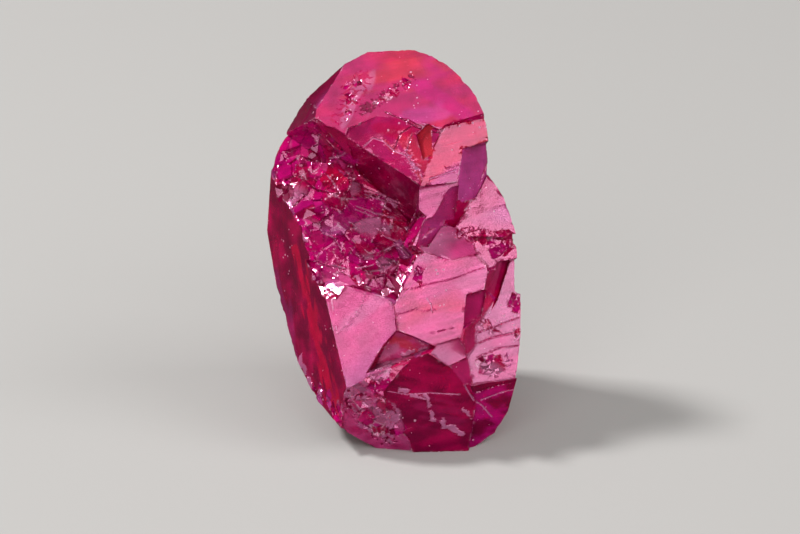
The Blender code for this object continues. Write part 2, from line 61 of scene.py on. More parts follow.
@dataclass(frozen=True)
class Drawing:
    """How the crystal's drawing lies in the row frame.

    The drawing has X across, Y up the stone and Z out through the show faces, in millimetres.

    Args:
        stand_up: how far the drawing is tipped up from lying flat, in degrees.
        foot_middle: the row frame's origin, in millimetres from where the tipped drawing's is.
    """

    stand_up: float = 68.0
    foot_middle: tuple[float, float] = (-0.0104, 2.5641)

    def to_row(self) -> Matrix:
        """The matrix from drawing millimetres to row-frame metres."""
        turned = Matrix.Rotation(math.radians(self.stand_up), 4, "X")
        moved = Matrix.Translation(Vector((-self.foot_middle[0], -self.foot_middle[1], 0.0)))
        return Matrix.Scale(MM, 4) @ moved @ turned

    def facing(self) -> Vector:
        """The row-frame direction out through the show faces."""
        return (self.to_row().to_3x3() @ Vector((0.0, 0.0, 1.0))).normalized()

    def place(self, across: float, up: float, out: float) -> Vector:
        """A point of the drawing, in the row frame."""
        return self.to_row() @ Vector((across, up, out))


class Tint(Enum):
    """The colours that the crystal shows, as linear red, green and blue: mostly body colours, while
    some stand in for light as painted highlights, glow, sheen and lightening.
    """

    ROSE = (1.00, 0.085, 0.36)
    SALMON = (1.00, 0.020, 0.11)
    RASPBERRY = (0.78, 0.020, 0.20)
    MAUVE = (0.72, 0.065, 0.36)
    PLUM = (1.00, 0.090, 0.50)
    MAGENTA = (0.90, 0.004, 0.28)
    RUBY = (0.76, 0.001, 0.12)
    WINE = (0.36, 0.000, 0.065)
    FLAME = (0.95, 0.002, 0.085)
    EMBER = (1.00, 0.050, 0.090)
    LILAC = (0.95, 0.250, 0.54)
    FUCHSIA = (1.00, 0.001, 0.25)


@dataclass(frozen=True)
class Face:
    """One large flat face of the crystal and its finish."""

    name: str
    seat: tuple[float, float, float]  # a point on it, on the drawing
    turn: float  # how far it faces right, in degrees
    lean: float  # how far it faces up, in degrees
    tint: Tint
    veil: Tint  # the colour of the clouds in it
    frost: float = 0.0  # share of its surface that is etched to a fine frost, 0 to 1
    terrace: float = 0.0  # height of its growth terraces in millimetres
    spacing: float = 0.6  # how far apart the terraces are in millimetres
    rise: float = 15.0  # the angle at which they climb to the right on the drawing, in degrees
    cloud: float = 2.2  # how large its clouds are, in millimetres
    lines: float = 0.0  # how strongly its fine growth lines show, 0 to 1

    def normal(self) -> np.ndarray:
        """The way the face faces on the drawing."""
        right, up = math.radians(self.turn), math.radians(self.lean)
        level = math.cos(up)
        return np.array((math.sin(right) * level, math.sin(up), math.cos(right) * level))


FACES = (
    Face("crown", (3.47, 19.67, 4.9), -3, 40, Tint.RASPBERRY, Tint.SALMON, frost=0.2, terrace=0.008,
         spacing=1.4, lines=0.15),
    Face("crown_step", (0.0, 19.0, 4.5), -5, 15, Tint.RASPBERRY, Tint.RUBY, frost=0.2,
         terrace=0.003, cloud=1.0),
    Face("upper_face", (3.5, 18.0, 4.75), 17, 8, Tint.SALMON, Tint.EMBER, frost=0.3, terrace=0.007,
         spacing=0.7, lines=1.0),
    Face("ember_face", (2.4, 18.7, 4.7), -34, 12, Tint.EMBER, Tint.RUBY, frost=0.3),
    # Painted light: the plum face looks away to the right, and its plum tint is painted brighter in
    # place of light it doesn't catch.
    Face("plum_face", (4.31, 16.0, 4.75), 61, -1.7, Tint.PLUM, Tint.MAUVE, frost=0.35,
         terrace=0.008, rise=80.0, lines=0.3),
    Face("lower_tongue", (1.5, 14.5, 5.25), 5, 12, Tint.ROSE, Tint.LILAC, frost=0.45, terrace=0.004,
         spacing=0.5, lines=0.9),
    Face("plum_underside", (4.0, 14.3, 4.3), 40, -34, Tint.RUBY, Tint.MAGENTA, frost=0.1),
    Face("tongue_riser", (2.9, 13.9, 4.7), 38, -18, Tint.RASPBERRY, Tint.MAUVE, frost=0.25),
    Face("shoulder_face", (5.4, 15.1, 2.85), 25, 27, Tint.RASPBERRY, Tint.MAUVE, frost=0.35,
         terrace=0.005, spacing=0.9, lines=0.4),
    Face("middle_face", (3.93, 13.33, 4.2), 5, 24, Tint.ROSE, Tint.LILAC, frost=0.4, terrace=0.006,
         lines=0.4),
    Face("main_face", (3.0, 8.0, 5.9), 3, 9, Tint.ROSE, Tint.SALMON, frost=0.5, terrace=0.003,
         spacing=0.8, rise=11.0, lines=0.9),
    Face("riser_step", (5.5, 7.9, 4.6), 32, -4, Tint.RASPBERRY, Tint.MAUVE, frost=0.3),
    Face("deep_riser", (6.1, 9.2, 4.6), 66, -8, Tint.RUBY, Tint.RASPBERRY, frost=0.12),
    Face("corner_patch", (7.1, 11.2, 3.2), 30, 12, Tint.RASPBERRY, Tint.MAUVE, frost=0.35),
    # Partly painted light: the side face's pale lilac tint is its pink body painted lighter in
    # place of sheen it catches too little of.
    Face("side_face", (6.8, 6.3, 3.35), 18, 10, Tint.LILAC, Tint.ROSE, frost=0.45, terrace=0.004,
         spacing=0.55, rise=17.0, lines=0.8),
    Face("left_panel", (-1.9, 5.5, 5.9), -9, 12, Tint.ROSE, Tint.MAUVE, frost=0.45, terrace=0.005,
         spacing=1.6, rise=60.0, cloud=3.2),
    # Painted light: the nook faces down, and its rose tint is painted lighter in place of light it
    # doesn't catch.
    Face("nook", (0.6, 5.4, 5.35), -6, -24, Tint.ROSE, Tint.SALMON, frost=0.3, cloud=0.5),
    Face("corner_bright", (3.9, 4.8, 5.9), 14, 14, Tint.ROSE, Tint.LILAC, frost=0.6),
    Face("corner_dark", (4.7, 3.6, 5.3), 30, 2, Tint.RASPBERRY, Tint.RUBY, frost=0.4),
    Face("window", (2.4, 1.8, 5.37), 4, -21, Tint.WINE, Tint.RUBY, frost=0.02, cloud=0.9),
    Face("right_heel", (6.6, 1.6, 3.9), 30, -22, Tint.WINE, Tint.MAGENTA, frost=0.1, terrace=0.02,
         spacing=0.5, cloud=0.7),
    Face("left_prism", (-4.5, 8.8, 4.75), -61.9, -5.2, Tint.WINE, Tint.RUBY, frost=0.04,
         terrace=0.012, spacing=0.5, rise=101.0, cloud=0.8),
    Face("dark_wall", (-2.0, 18.47, 4.5), -45, -40.5, Tint.WINE, Tint.RUBY, frost=0.04),
    Face("scar_wall", (-4.2, 18.9, 3.2), -34, -34, Tint.RUBY, Tint.MAGENTA, frost=0.1),
    Face("left_rim", (-3.47, 23.6, 1.23), -62, 42, Tint.WINE, Tint.MAUVE, frost=0.3, terrace=0.02,
         spacing=0.4, rise=50.0),
    # Painted light: the rubble faces steeply down, and its rose tint is painted lighter in place of
    # light it doesn't catch.
    Face("rubble_ground", (0.0, -1.35, 3.75), -12, -38, Tint.ROSE, Tint.RASPBERRY, frost=0.35,
         cloud=0.6),
    Face("left_rim_low", (-5.13, 20.8, 3.3), -70, 22, Tint.WINE, Tint.MAUVE, frost=0.3,
         terrace=0.02, spacing=0.4, rise=50.0),
)


@dataclass(frozen=True)
class Zone:
    """A stretch of colour inside the crystal, along a line on the drawing; a few are painted light:
    glow, sheen and lightening of faces that catch little light.
    """

    start: tuple[float, float]  # where the stretch starts, across and up
    end: tuple[float, float]
    width: float  # how far it reaches to each side, in millimetres
    tint: Tint
    strength: float = 1.0  # how much of it shows at its middle, 0 to 1
    grain: float = 0.6  # the size of its flecks in millimetres
    faces: tuple[str, ...] = ()  # the faces that it shows in, or none for all the broken ones


ZONES = (
    # Painted glow: flame-red streaks down the left prism stand for light caught inside the crystal.
    Zone((-6.4, 11.8), (-4.0, 1.6), 0.38, Tint.FLAME, 1.0, 0.2, ("left_prism",)),
    Zone((-5.4, 7.4), (-3.9, 1.6), 0.45, Tint.FLAME, 1.0, 0.3, ("left_prism",)),
    # Painted sheen: mauve along the left prism's left part stands for a reflection on it.
    Zone((-8.2, 10.6), (-5.6, 2.0), 0.5, Tint.MAUVE, 0.35, 0.4, ("left_prism",)),
    Zone((-3.0, 22.6), (3.0, 24.0), 0.9, Tint.EMBER, 0.55, 0.5, ("crown",)),
    Zone((2.2, 22.4), (4.8, 20.6), 1.3, Tint.MAGENTA, 0.75, 1.4, ("crown",)),
    Zone((1.0, 20.6), (3.0, 20.9), 0.8, Tint.PLUM, 0.6, 0.8, ("crown",)),
    Zone((-3.0, 20.4), (-2.0, 22.6), 0.8, Tint.LILAC, 0.55, 0.5, ("crown",)),
    Zone((-0.8, 19.6), (0.8, 19.0), 0.9, Tint.FLAME, 0.5, 0.7, ("crown_step",)),
    Zone((0.6, 18.6), (2.2, 16.6), 0.8, Tint.EMBER, 0.6, 0.3, ("crown_step", "ember_face")),
    Zone((2.4, 15.6), (4.0, 16.6), 1.0, Tint.MAUVE, 0.8, 0.9, ("upper_face",)),
    Zone((-3.0, 6.9), (0.0, 9.0), 0.9, Tint.LILAC, 0.55, 1.2, ("left_panel",)),
    Zone((-5.2, 4.4), (-3.2, 3.0), 0.9, Tint.LILAC, 0.4, 0.6, ("left_panel",)),
    Zone((5.6, 4.2), (7.4, 4.4), 0.75, Tint.LILAC, 0.9, 2.5, ("side_face",)),
    Zone((0.3, 10.8), (2.2, 11.0), 0.6, Tint.LILAC, 0.6, 0.8, ("main_face",)),
    Zone((4.6, 9.2), (5.9, 10.2), 0.6, Tint.LILAC, 0.5, 0.8, ("main_face",)),
    Zone((-7.3, 16.6), (-6.4, 19.4), 0.70, Tint.MAGENTA, 0.7, 0.7),
    Zone((-7.0, 16.1), (-6.1, 15.2), 0.55, Tint.ROSE, 0.8, 1.0),
    Zone((-6.2, 17.9), (-5.4, 18.2), 0.55, Tint.RASPBERRY, 0.8, 0.8),
    Zone((-5.3, 19.4), (-4.4, 18.6), 0.55, Tint.RUBY, 0.9, 0.7),
    Zone((-4.6, 17.4), (-3.4, 17.2), 0.45, Tint.ROSE, 0.8, 0.6),
    Zone((-4.3, 16.6), (-2.9, 16.3), 0.65, Tint.FLAME, 0.95, 0.6),
    Zone((-2.6, 17.0), (-2.1, 16.2), 0.50, Tint.WINE, 1.0, 0.8),
    Zone((-2.7, 15.5), (-1.8, 16.4), 0.35, Tint.LILAC, 0.7, 0.25),
    Zone((-1.6, 15.2), (0.6, 14.3), 0.60, Tint.WINE, 1.0, 0.8),
    Zone((-5.8, 15.2), (-3.6, 14.2), 0.80, Tint.MAGENTA, 0.9, 0.8),
    Zone((-6.0, 13.9), (-4.6, 13.4), 0.60, Tint.WINE, 0.8, 0.7),
    Zone((-4.4, 13.7), (-3.4, 13.5), 0.55, Tint.MAGENTA, 0.9, 0.7),
    Zone((-5.0, 12.4), (-3.6, 11.0), 0.95, Tint.FUCHSIA, 1.0, 0.4),
    Zone((-3.4, 12.7), (-1.4, 12.1), 0.70, Tint.MAGENTA, 0.9, 0.7),
    Zone((-3.3, 14.1), (-2.2, 13.8), 0.45, Tint.MAUVE, 0.9, 1.0),
    Zone((-2.4, 13.4), (-0.4, 12.9), 0.40, Tint.LILAC, 0.9, 2.0),
    Zone((-0.7, 13.9), (0.2, 13.5), 0.40, Tint.FLAME, 0.9, 0.5),
    Zone((-1.8, 12.5), (-0.2, 11.9), 0.40, Tint.WINE, 0.9, 0.5),
    Zone((-1.6, 11.5), (-0.4, 10.8), 0.45, Tint.LILAC, 0.8, 0.4),
    Zone((-1.8, 10.2), (-0.2, 9.0), 0.70, Tint.WINE, 0.9, 0.6),
    Zone((-6.9, 19.2), (-6.6, 17.4), 0.40, Tint.LILAC, 0.9, 0.8),
    Zone((-6.7, 15.8), (-6.2, 15.3), 0.45, Tint.LILAC, 0.9, 0.9),
    Zone((-4.2, 10.2), (-3.0, 9.4), 0.60, Tint.ROSE, 0.8, 0.4),
    Zone((5.9, 4.3), (6.9, 4.0), 0.80, Tint.LILAC, 0.95, 1.5),
    Zone((-5.6, 19.8), (-4.6, 17.8), 0.60, Tint.MAGENTA, 0.8, 0.6),
    Zone((5.9, 1.4), (7.9, 0.2), 0.9, Tint.MAGENTA, 0.8, 1.2, ("right_heel",)),
    Zone((0.9, 3.6), (3.6, 3.2), 0.9, Tint.RUBY, 0.7, 0.5, ("window",)),
    Zone((2.2, 1.4), (4.2, 1.0), 1.3, Tint.RASPBERRY, 0.35, 0.35, ("window",)),
    Zone((-0.1, 5.9), (1.0, 5.6), 0.45, Tint.EMBER, 0.8, 0.4, ("nook",)),
    # Painted light: pink plates of the nook, painted lighter in place of light that the down-facing
    # nook doesn't catch.
    Zone((-1.0, 4.5), (0.2, 5.2), 0.4, Tint.LILAC, 0.8, 0.8, ("nook",)),
    # Painted light: lilac over the foot's rubble, lighter than its body in place of light that the
    # down-facing rubble doesn't catch.
    Zone((-3.2, 3.2), (-0.2, -0.2), 1.1, Tint.LILAC, 0.9, 0.22, ("rubble_ground", "window")),
    Zone((-3.2, 3.2), (-0.4, 0.6), 1.2, Tint.LILAC, 0.9, 0.6),
    Zone((-1.4, 3.4), (0.0, 4.4), 0.7, Tint.LILAC, 0.8, 0.5),
    Zone((-2.6, 0.8), (-0.6, -0.6), 0.7, Tint.LILAC, 0.6, 0.5),
)


@dataclass(frozen=True)
class Crack:
    """A fine crack, growth line or rib, drawn as a line of straight stretches."""

    line: tuple[tuple[float, float], ...]  # its corners on the drawing, across and up
    width: float  # its half width in millimetres
    depth: float  # how deep it is in millimetres, or below zero how far a rib stands up
    tint: Tint  # its colour, pale where it is full of air
    faces: tuple[str, ...] = ()  # the faces that it crosses, or none for the broken ones


CRACKS = (
    Crack(((-0.52, 20.75), (0.53, 20.29), (1.58, 19.70), (2.30, 19.44), (3.22, 19.31)), 0.045, 0.06,
          Tint.WINE, ("crown", "crown_step")),
    Crack(((1.9, 20.0), (2.7, 19.75), (3.3, 19.6)), 0.045, 0.05, Tint.LILAC, ("crown",)),
    Crack(((-1.96, 18.4), (-1.30, 19.0), (-0.65, 18.8), (0.14, 18.1), (0.79, 17.9), (1.25, 17.3)),
          0.04, 0.05, Tint.LILAC, ("crown_step",)),
    Crack(((0.1, 18.3), (0.5, 19.3), (1.2, 19.75)), 0.045, 0.05, Tint.WINE, ("crown_step",)),
    Crack(((0.9, 18.1), (1.25, 19.3)), 0.04, 0.04, Tint.WINE, ("crown_step",)),
    Crack(((0.01, 8.96), (1.58, 9.19), (1.97, 9.35), (3.55, 9.68), (4.27, 9.88), (4.92, 10.14),
           (5.9, 10.5)), 0.035, 0.02, Tint.RASPBERRY, ("main_face",)),
    Crack(((0.14, 7.39), (1.52, 7.80), (2.04, 7.65), (2.76, 7.78)), 0.035, 0.02, Tint.RASPBERRY,
          ("main_face",)),
    Crack(((2.54, 6.24), (3.94, 6.54)), 0.035, 0.02, Tint.RASPBERRY, ("main_face",)),
    Crack(((2.76, 5.26), (4.07, 5.64)), 0.035, 0.02, Tint.RASPBERRY, ("main_face",)),
    Crack(((2.2, 8.5), (2.5, 8.1), (2.55, 7.6)), 0.04, 0.03, Tint.LILAC, ("main_face",)),
    Crack(((3.4, 17.0), (5.0, 17.45), (7.2, 18.1)), 0.045, 0.02, Tint.RASPBERRY, ("upper_face",)),
    Crack(((2.4, 16.3), (4.2, 16.9)), 0.05, 0.03, Tint.LILAC, ("upper_face",)),
    Crack(((5.4, 5.4), (6.6, 5.9), (8.6, 6.3)), 0.05, 0.02, Tint.RASPBERRY, ("side_face",)),
    Crack(((5.6, 6.2), (7.0, 6.7), (8.6, 7.3)), 0.04, 0.02, Tint.RASPBERRY, ("side_face",)),
    Crack(((5.5, 4.6), (7.0, 5.2), (8.6, 5.4)), 0.04, 0.02, Tint.RASPBERRY, ("side_face",)),
    Crack(((4.64, 2.89), (4.97, 2.31), (5.30, 1.82), (5.87, 1.43), (6.50, 0.68)), 0.05, 0.06,
          Tint.LILAC, ("window", "right_heel")),
    Crack(((-0.3, 2.4), (0.9, 2.2), (2.4, 2.3), (4.4, 2.2)), 0.03, 0.02, Tint.LILAC, ("window",)),
    Crack(((5.4, 2.3), (7.0, 2.8), (8.3, 3.0)), 0.05, 0.05, Tint.WINE, ("right_heel",)),
    Crack(((5.8, 1.8), (7.2, 2.3), (8.3, 2.5)), 0.04, 0.04, Tint.LILAC, ("right_heel",)),
    Crack(((-3.6, 6.2), (-2.2, 7.6), (-1.8, 8.9)), 0.03, 0.02, Tint.LILAC, ("left_panel",)),
    Crack(((-1.91, 15.90), (0.63, 14.68)), 0.05, -0.09, Tint.LILAC),
    Crack(((-1.83, 15.58), (-0.52, 15.17), (0.71, 14.27)), 0.05, -0.09, Tint.LILAC),
    Crack(((-1.83, 15.33), (-0.19, 14.76)), 0.04, -0.07, Tint.LILAC),
    Crack(((-0.76, 14.68), (-0.19, 14.27)), 0.07, -0.10, Tint.LILAC),
    Crack(((-0.27, 15.00), (0.14, 14.51)), 0.07, -0.10, Tint.LILAC),
    Crack(((-2.40, 14.55), (-1.17, 14.10), (0.06, 13.78)), 0.05, -0.08, Tint.LILAC),
    Crack(((-2.48, 14.35), (-1.33, 13.86)), 0.04, -0.07, Tint.LILAC),
    Crack(((-4.28, 16.56), (-3.46, 15.41)), 0.05, -0.07, Tint.LILAC),
    Crack(((-4.45, 15.58), (-3.55, 15.09)), 0.04, -0.06, Tint.LILAC),
    Crack(((-4.45, 12.71), (-3.79, 12.47)), 0.05, -0.06, Tint.LILAC),
    Crack(((-3.95, 12.55), (-3.38, 11.65)), 0.03, -0.05, Tint.LILAC),
    Crack(((-0.68, 12.63), (0.30, 12.22)), 0.05, -0.08, Tint.LILAC),
    Crack(((-0.52, 11.65), (0.30, 12.06), (1.04, 11.32)), 0.05, -0.07, Tint.LILAC),
    Crack(((-4.04, 10.66), (-3.14, 10.42)), 0.05, -0.06, Tint.LILAC),
    Crack(((-2.40, 10.42), (-1.33, 10.66)), 0.05, -0.07, Tint.LILAC),
    Crack(((-2.2, 18.6), (-3.4, 17.9), (-4.2, 17.8)), 0.05, -0.05, Tint.LILAC),
    Crack(((-6.9, 17.4), (-6.2, 17.9), (-5.2, 17.5)), 0.06, 0.08, Tint.WINE),
    Crack(((-7.2, 16.3), (-6.4, 16.7), (-5.0, 15.6), (-3.6, 15.3)), 0.06, 0.08, Tint.WINE),
    Crack(((-5.9, 15.2), (-6.6, 14.6)), 0.06, 0.08, Tint.WINE),
)


@dataclass(frozen=True)
class Etching:
    """A patch of worm-like etch channels, or of frosted islands that stand proud; a few pale
    islands are painted highlights.
    """

    start: tuple[float, float]  # where the patch starts on the drawing, across and up
    end: tuple[float, float]
    width: float  # how far it reaches to each side, in millimetres
    scale: float  # how far apart the channels or islands are, in millimetres
    height: float  # how far it stands proud in millimetres, or below zero how deep it is eaten
    tint: Tint
    faces: tuple[str, ...] = ()  # the faces that it is on, or none for the broken ones


ETCHINGS = (
    Etching((-3.4, 20.4), (-2.0, 23.0), 0.75, 0.42, -0.02, Tint.RUBY, ("crown",)),
    Etching((-1.9, 20.9), (1.1, 22.9), 0.45, 0.36, -0.025, Tint.WINE, ("crown",)),
    Etching((0.9, 18.0), (1.8, 16.4), 0.30, 0.22, -0.04, Tint.LILAC, ("crown_step",)),
    Etching((4.6, 12.8), (6.8, 12.3), 0.55, 0.45, -0.06, Tint.RUBY,
            ("shoulder_face", "middle_face")),
    Etching((1.5, 10.2), (1.75, 9.4), 0.22, 0.4, -0.12, Tint.RUBY, ("main_face",)),
    Etching((5.5, 7.3), (6.8, 6.4), 0.35, 0.35, -0.06, Tint.RUBY, ("side_face",)),
    Etching((7.5, 4.7), (7.8, 3.9), 0.22, 0.3, -0.03, Tint.MAUVE, ("side_face",)),
    Etching((0.5, 2.5), (2.1, 1.9), 0.26, 0.35, 0.04, Tint.LILAC, ("window",)),
    Etching((2.2, 2.2), (2.6, 0.4), 0.24, 0.35, 0.04, Tint.LILAC, ("window",)),
    Etching((2.9, 0.4), (4.6, -0.5), 0.40, 0.45, 0.04, Tint.LILAC, ("window",)),
    Etching((4.5, 1.3), (5.2, 0.6), 0.22, 0.3, 0.04, Tint.LILAC, ("window", "right_heel")),
    # Painted highlight: pale lilac islands along the nook's lower border stand for its white ragged
    # highlights.
    Etching((0.4, 4.75), (2.3, 5.25), 0.22, 0.3, 0.06, Tint.LILAC, ("nook",)),
    Etching((-3.2, 2.4), (-0.4, -0.2), 1.1, 0.35, -0.05, Tint.WINE, ("rubble_ground", "window")),
    # Painted highlights: small pale lilac islands that stand for white glints on the broken skin.
    Etching((-5.95, 12.6), (-5.6, 12.2), 0.22, 0.5, 0.05, Tint.LILAC),
    Etching((-2.4, 9.9), (-2.2, 9.5), 0.18, 0.5, 0.05, Tint.LILAC),
    Etching((0.4, 10.3), (0.5, 9.9), 0.16, 0.5, 0.05, Tint.LILAC),
    Etching((-6.2, 4.4), (-3.9, -0.4), 0.35, 0.45, 0.05, Tint.LILAC, ("left_prism",)),
)


@dataclass(frozen=True)
class PlateKind:
    """One kind of the small plates that the broken skin is made of."""

    tint: Tint
    frost: float  # how frosted it is, 0 to 1
    share: float  # how many of the plates are of this kind


PLATE_KINDS = (
    PlateKind(Tint.WINE, 0.06, 0.16),
    PlateKind(Tint.RUBY, 0.12, 0.30),
    PlateKind(Tint.MAGENTA, 0.15, 0.26),
    PlateKind(Tint.FUCHSIA, 0.15, 0.20),
    PlateKind(Tint.MAUVE, 0.45, 0.08),
)


def placed(name: str, data: bpy.types.ID) -> bpy.types.Object:
    """Makes an object of a mesh, light or camera and puts it in the scene."""
    piece = bpy.data.objects.new(name, data)
    bpy.context.scene.collection.objects.link(piece)
    return piece


def smooth_step(values: np.ndarray, low: float, high: float) -> np.ndarray:
    """Grows smoothly from 0 at low to 1 at high."""
    share = np.clip((values - low) / (high - low), 0.0, 1.0)
    return share * share * (3.0 - 2.0 * share)


def blended(under: np.ndarray, over: Tint, share: np.ndarray) -> np.ndarray:
    """Lays a tint over colours, with its own share for each of them."""
    return under * (1.0 - share[:, None]) + np.array(over.value) * share[:, None]


def noise_at(spots: np.ndarray, scale: float, seed: float = 0.0) -> np.ndarray:
    """Smooth noise at many places, from about -1 to 1, with its hills one scale apart."""
    offset = Vector((seed, seed * 1.7, seed * 0.6))
    return np.array([noise.noise(Vector(spot) + offset) for spot in (spots / scale).tolist()])


def drawn_out(spots: np.ndarray, rise: float, draw: float, depth: np.ndarray | float) -> np.ndarray:
    """Turns places so that noise at them comes out drawn along a direction of the drawing.

    Args:
        spots: the places, one to a row.
        rise: how steeply the direction climbs to the right, in degrees.
        draw: how much slower the noise is to change along it than across.
        depth: the places' third column.

    Returns:
        The turned places, one to a row.
    """
    climb = math.radians(rise)
    along = spots @ np.array((math.cos(climb), math.sin(climb), 0.0))
    across = spots @ np.array((-math.sin(climb), math.cos(climb), 0.0))
    return np.stack([along * draw, across, np.broadcast_to(depth, along.shape)], axis=1)


def gap_to_line(spots: np.ndarray, *line: tuple[float, float]) -> np.ndarray:
    """How far places of the drawing are from a line of straight stretches.

    Args:
        spots: the places, whose first two columns are across and up.
        line: the line's corners, across and up.

    Returns:
        One gap for each place, in millimetres.
    """
    gaps = np.full(len(spots), np.inf)
    flat = spots[:, :2]
    for start, end in zip(line, line[1:]):
        start, along = np.array(start), np.array(end) - np.array(start)
        share = np.clip((flat - start) @ along / (along @ along), 0.0, 1.0)
        gaps = np.minimum(gaps, np.linalg.norm(flat - start - share[:, None] * along, axis=1))
    return gaps


def corners_of(mesh: bpy.types.Mesh) -> np.ndarray:
    """The point numbers of a mesh's triangles, three to a row."""
    corners = np.empty(len(mesh.loops), np.int32)
    mesh.loops.foreach_get("vertex_index", corners)
    return corners.reshape(-1, 3)


class Relief:
    """A finely divided mesh as arrays on the drawing, to work small relief and colour into."""

    least_bend = 6.0  # degrees between two triangles that make an edge of the crystal
    foot_reach = 1e-7  # metres above the floor up to which a point belongs to the flat foot
    face_slack = 0.03  # millimetres that a triangle may lie off its face's plane
    face_bend = 0.8  # degrees that it may be turned from its face

    def __init__(self, mesh: bpy.types.Mesh, drawing: Drawing) -> None:
        """Reads the mesh into arrays.

        Args:
            mesh: the finely divided mesh, in metres.
            drawing: how the crystal's drawing lies in the row frame.
        """
        self.mesh = mesh
        self.to_row = np.array(drawing.to_row())
        from_row = np.array(drawing.to_row().inverted())
        spin = from_row[:3, :3] * MM
        row = self._read(mesh.vertices, "co")
        self.on_foot = row[:, 2] < self.foot_reach
        self.points = row @ from_row[:3, :3].T + from_row[:3, 3]
        self.normals = self._read(mesh.vertices, "normal") @ spin.T
        self.flats = self._read(mesh.polygons, "normal") @ spin.T
        self.corners = corners_of(mesh)
        self.centres = self.points[self.corners].mean(axis=1)
        self.places = self.centres.copy()  # where each triangle takes its zone colour from
        self.colours = np.zeros_like(self.centres)
        self.frost = np.zeros(len(self.centres))
        self.face_of = self._faces()
        self.point_face, self.border = self._point_faces()
        self.bend = self._bends()
        self.sharp = self.bend > self.least_bend
        self.edge_gap = self._gap_to(self.sharp)
        self.border_gap = self._gap_to(self.border)

    @staticmethod
    def _read(items: bpy.types.bpy_prop_collection, what: str) -> np.ndarray:
        """Reads a vector of every item into an array of three columns."""
        values = np.empty(len(items) * 3, np.float32)
        items.foreach_get(what, values)
        return values.reshape(-1, 3).astype(float)

    def _faces(self) -> np.ndarray:
        """Finds the number of the named face that each triangle lies in, or -1."""
        numbers = np.full(len(self.flats), -1)
        for number, face in enumerate(FACES):
            off = np.abs((self.centres - np.array(face.seat)) @ face.normal())
            level = self.flats @ face.normal() > math.cos(math.radians(self.face_bend))
            numbers[(off < self.face_slack) & level] = number
        return numbers

    def _point_faces(self) -> tuple[np.ndarray, np.ndarray]:
        """Finds which faces meet at each point.

        Returns:
            The number of the face that all the triangles round a point lie in, or -1, and a flag
            for each point on the border of a named face.
        """
        lowest = np.full(len(self.points), len(FACES))
        highest = np.full(len(self.points), -1)
        for column in range(3):
            np.minimum.at(lowest, self.corners[:, column], self.face_of)
            np.maximum.at(highest, self.corners[:, column], self.face_of)
        return np.where(lowest == highest, highest, -1), lowest != highest

    def _bends(self) -> np.ndarray:
        """The sharpest bend between two triangles at each point, in degrees."""
        shape = bmesh.new()
        shape.from_mesh(self.mesh)
        bends = np.zeros(len(self.points))
        for edge in shape.edges:
            bend = math.degrees(edge.calc_face_angle(0.0))
            if bend > self.least_bend:
                for vert in edge.verts:
                    bends[vert.index] = max(bends[vert.index], bend)
        shape.free()
        return bends

    def _gap_to(self, marked: np.ndarray) -> np.ndarray:
        """Measures how far each point is from the nearest marked one.

        Args:
            marked: a flag for each point.

        Returns:
            One gap for each point, in millimetres.
        """
        chosen = np.flatnonzero(marked)
        tree = KDTree(len(chosen))
        for index in chosen:
            tree.insert(self.points[index], int(index))
        tree.balance()
        return np.array([tree.find(point)[2] for point in self.points.tolist()])

    @staticmethod
    def within(face_of: np.ndarray, names: tuple[str, ...]) -> np.ndarray:
        """Flags what lies in the named faces, or in the broken skin where no face is named."""
        numbers = [number for number, face in enumerate(FACES) if face.name in names]
        return np.isin(face_of, numbers if names else [-1])

    def lift(self, height: np.ndarray) -> None:
        """Moves every point out along its normal by a height in millimetres."""
        self.points += self.normals * height[:, None]

    def paint(self, chosen: np.ndarray, tint: Tint, frost: float) -> None:
        """Gives the chosen triangles one colour and frost."""
        self.colours[chosen] = tint.value
        self.frost[chosen] = frost

    def store(self) -> None:
        """Writes the moved points back to the mesh, with the foot flat and nothing below it."""
        row = self.points @ self.to_row[:3, :3].T + self.to_row[:3, 3]
        row[:, 2] = np.where(self.on_foot, 0.0, np.maximum(row[:, 2], self.foot_reach))
        self.mesh.vertices.foreach_set("co", row.astype(np.float32).ravel())
        self.mesh.update()
        full = np.ones((len(self.corners) * 3, 4), np.float32)
        full[:, :3] = np.repeat(np.clip(self.colours, 0.0, 1.0), 3, axis=0)
        layer = self.mesh.attributes.new("tint", "FLOAT_COLOR", "CORNER")
        layer.data.foreach_set("color", full.ravel())
        self.keep("frost", "FACE", np.clip(self.frost, 0.0, 1.0))

    def keep(self, name: str, domain: str, values: np.ndarray) -> None:
        """Stores one value for each triangle or point, for the material to read."""
        layer = self.mesh.attributes.new(name, "FLOAT", domain)
        layer.data.foreach_set("value", values.astype(np.float32))


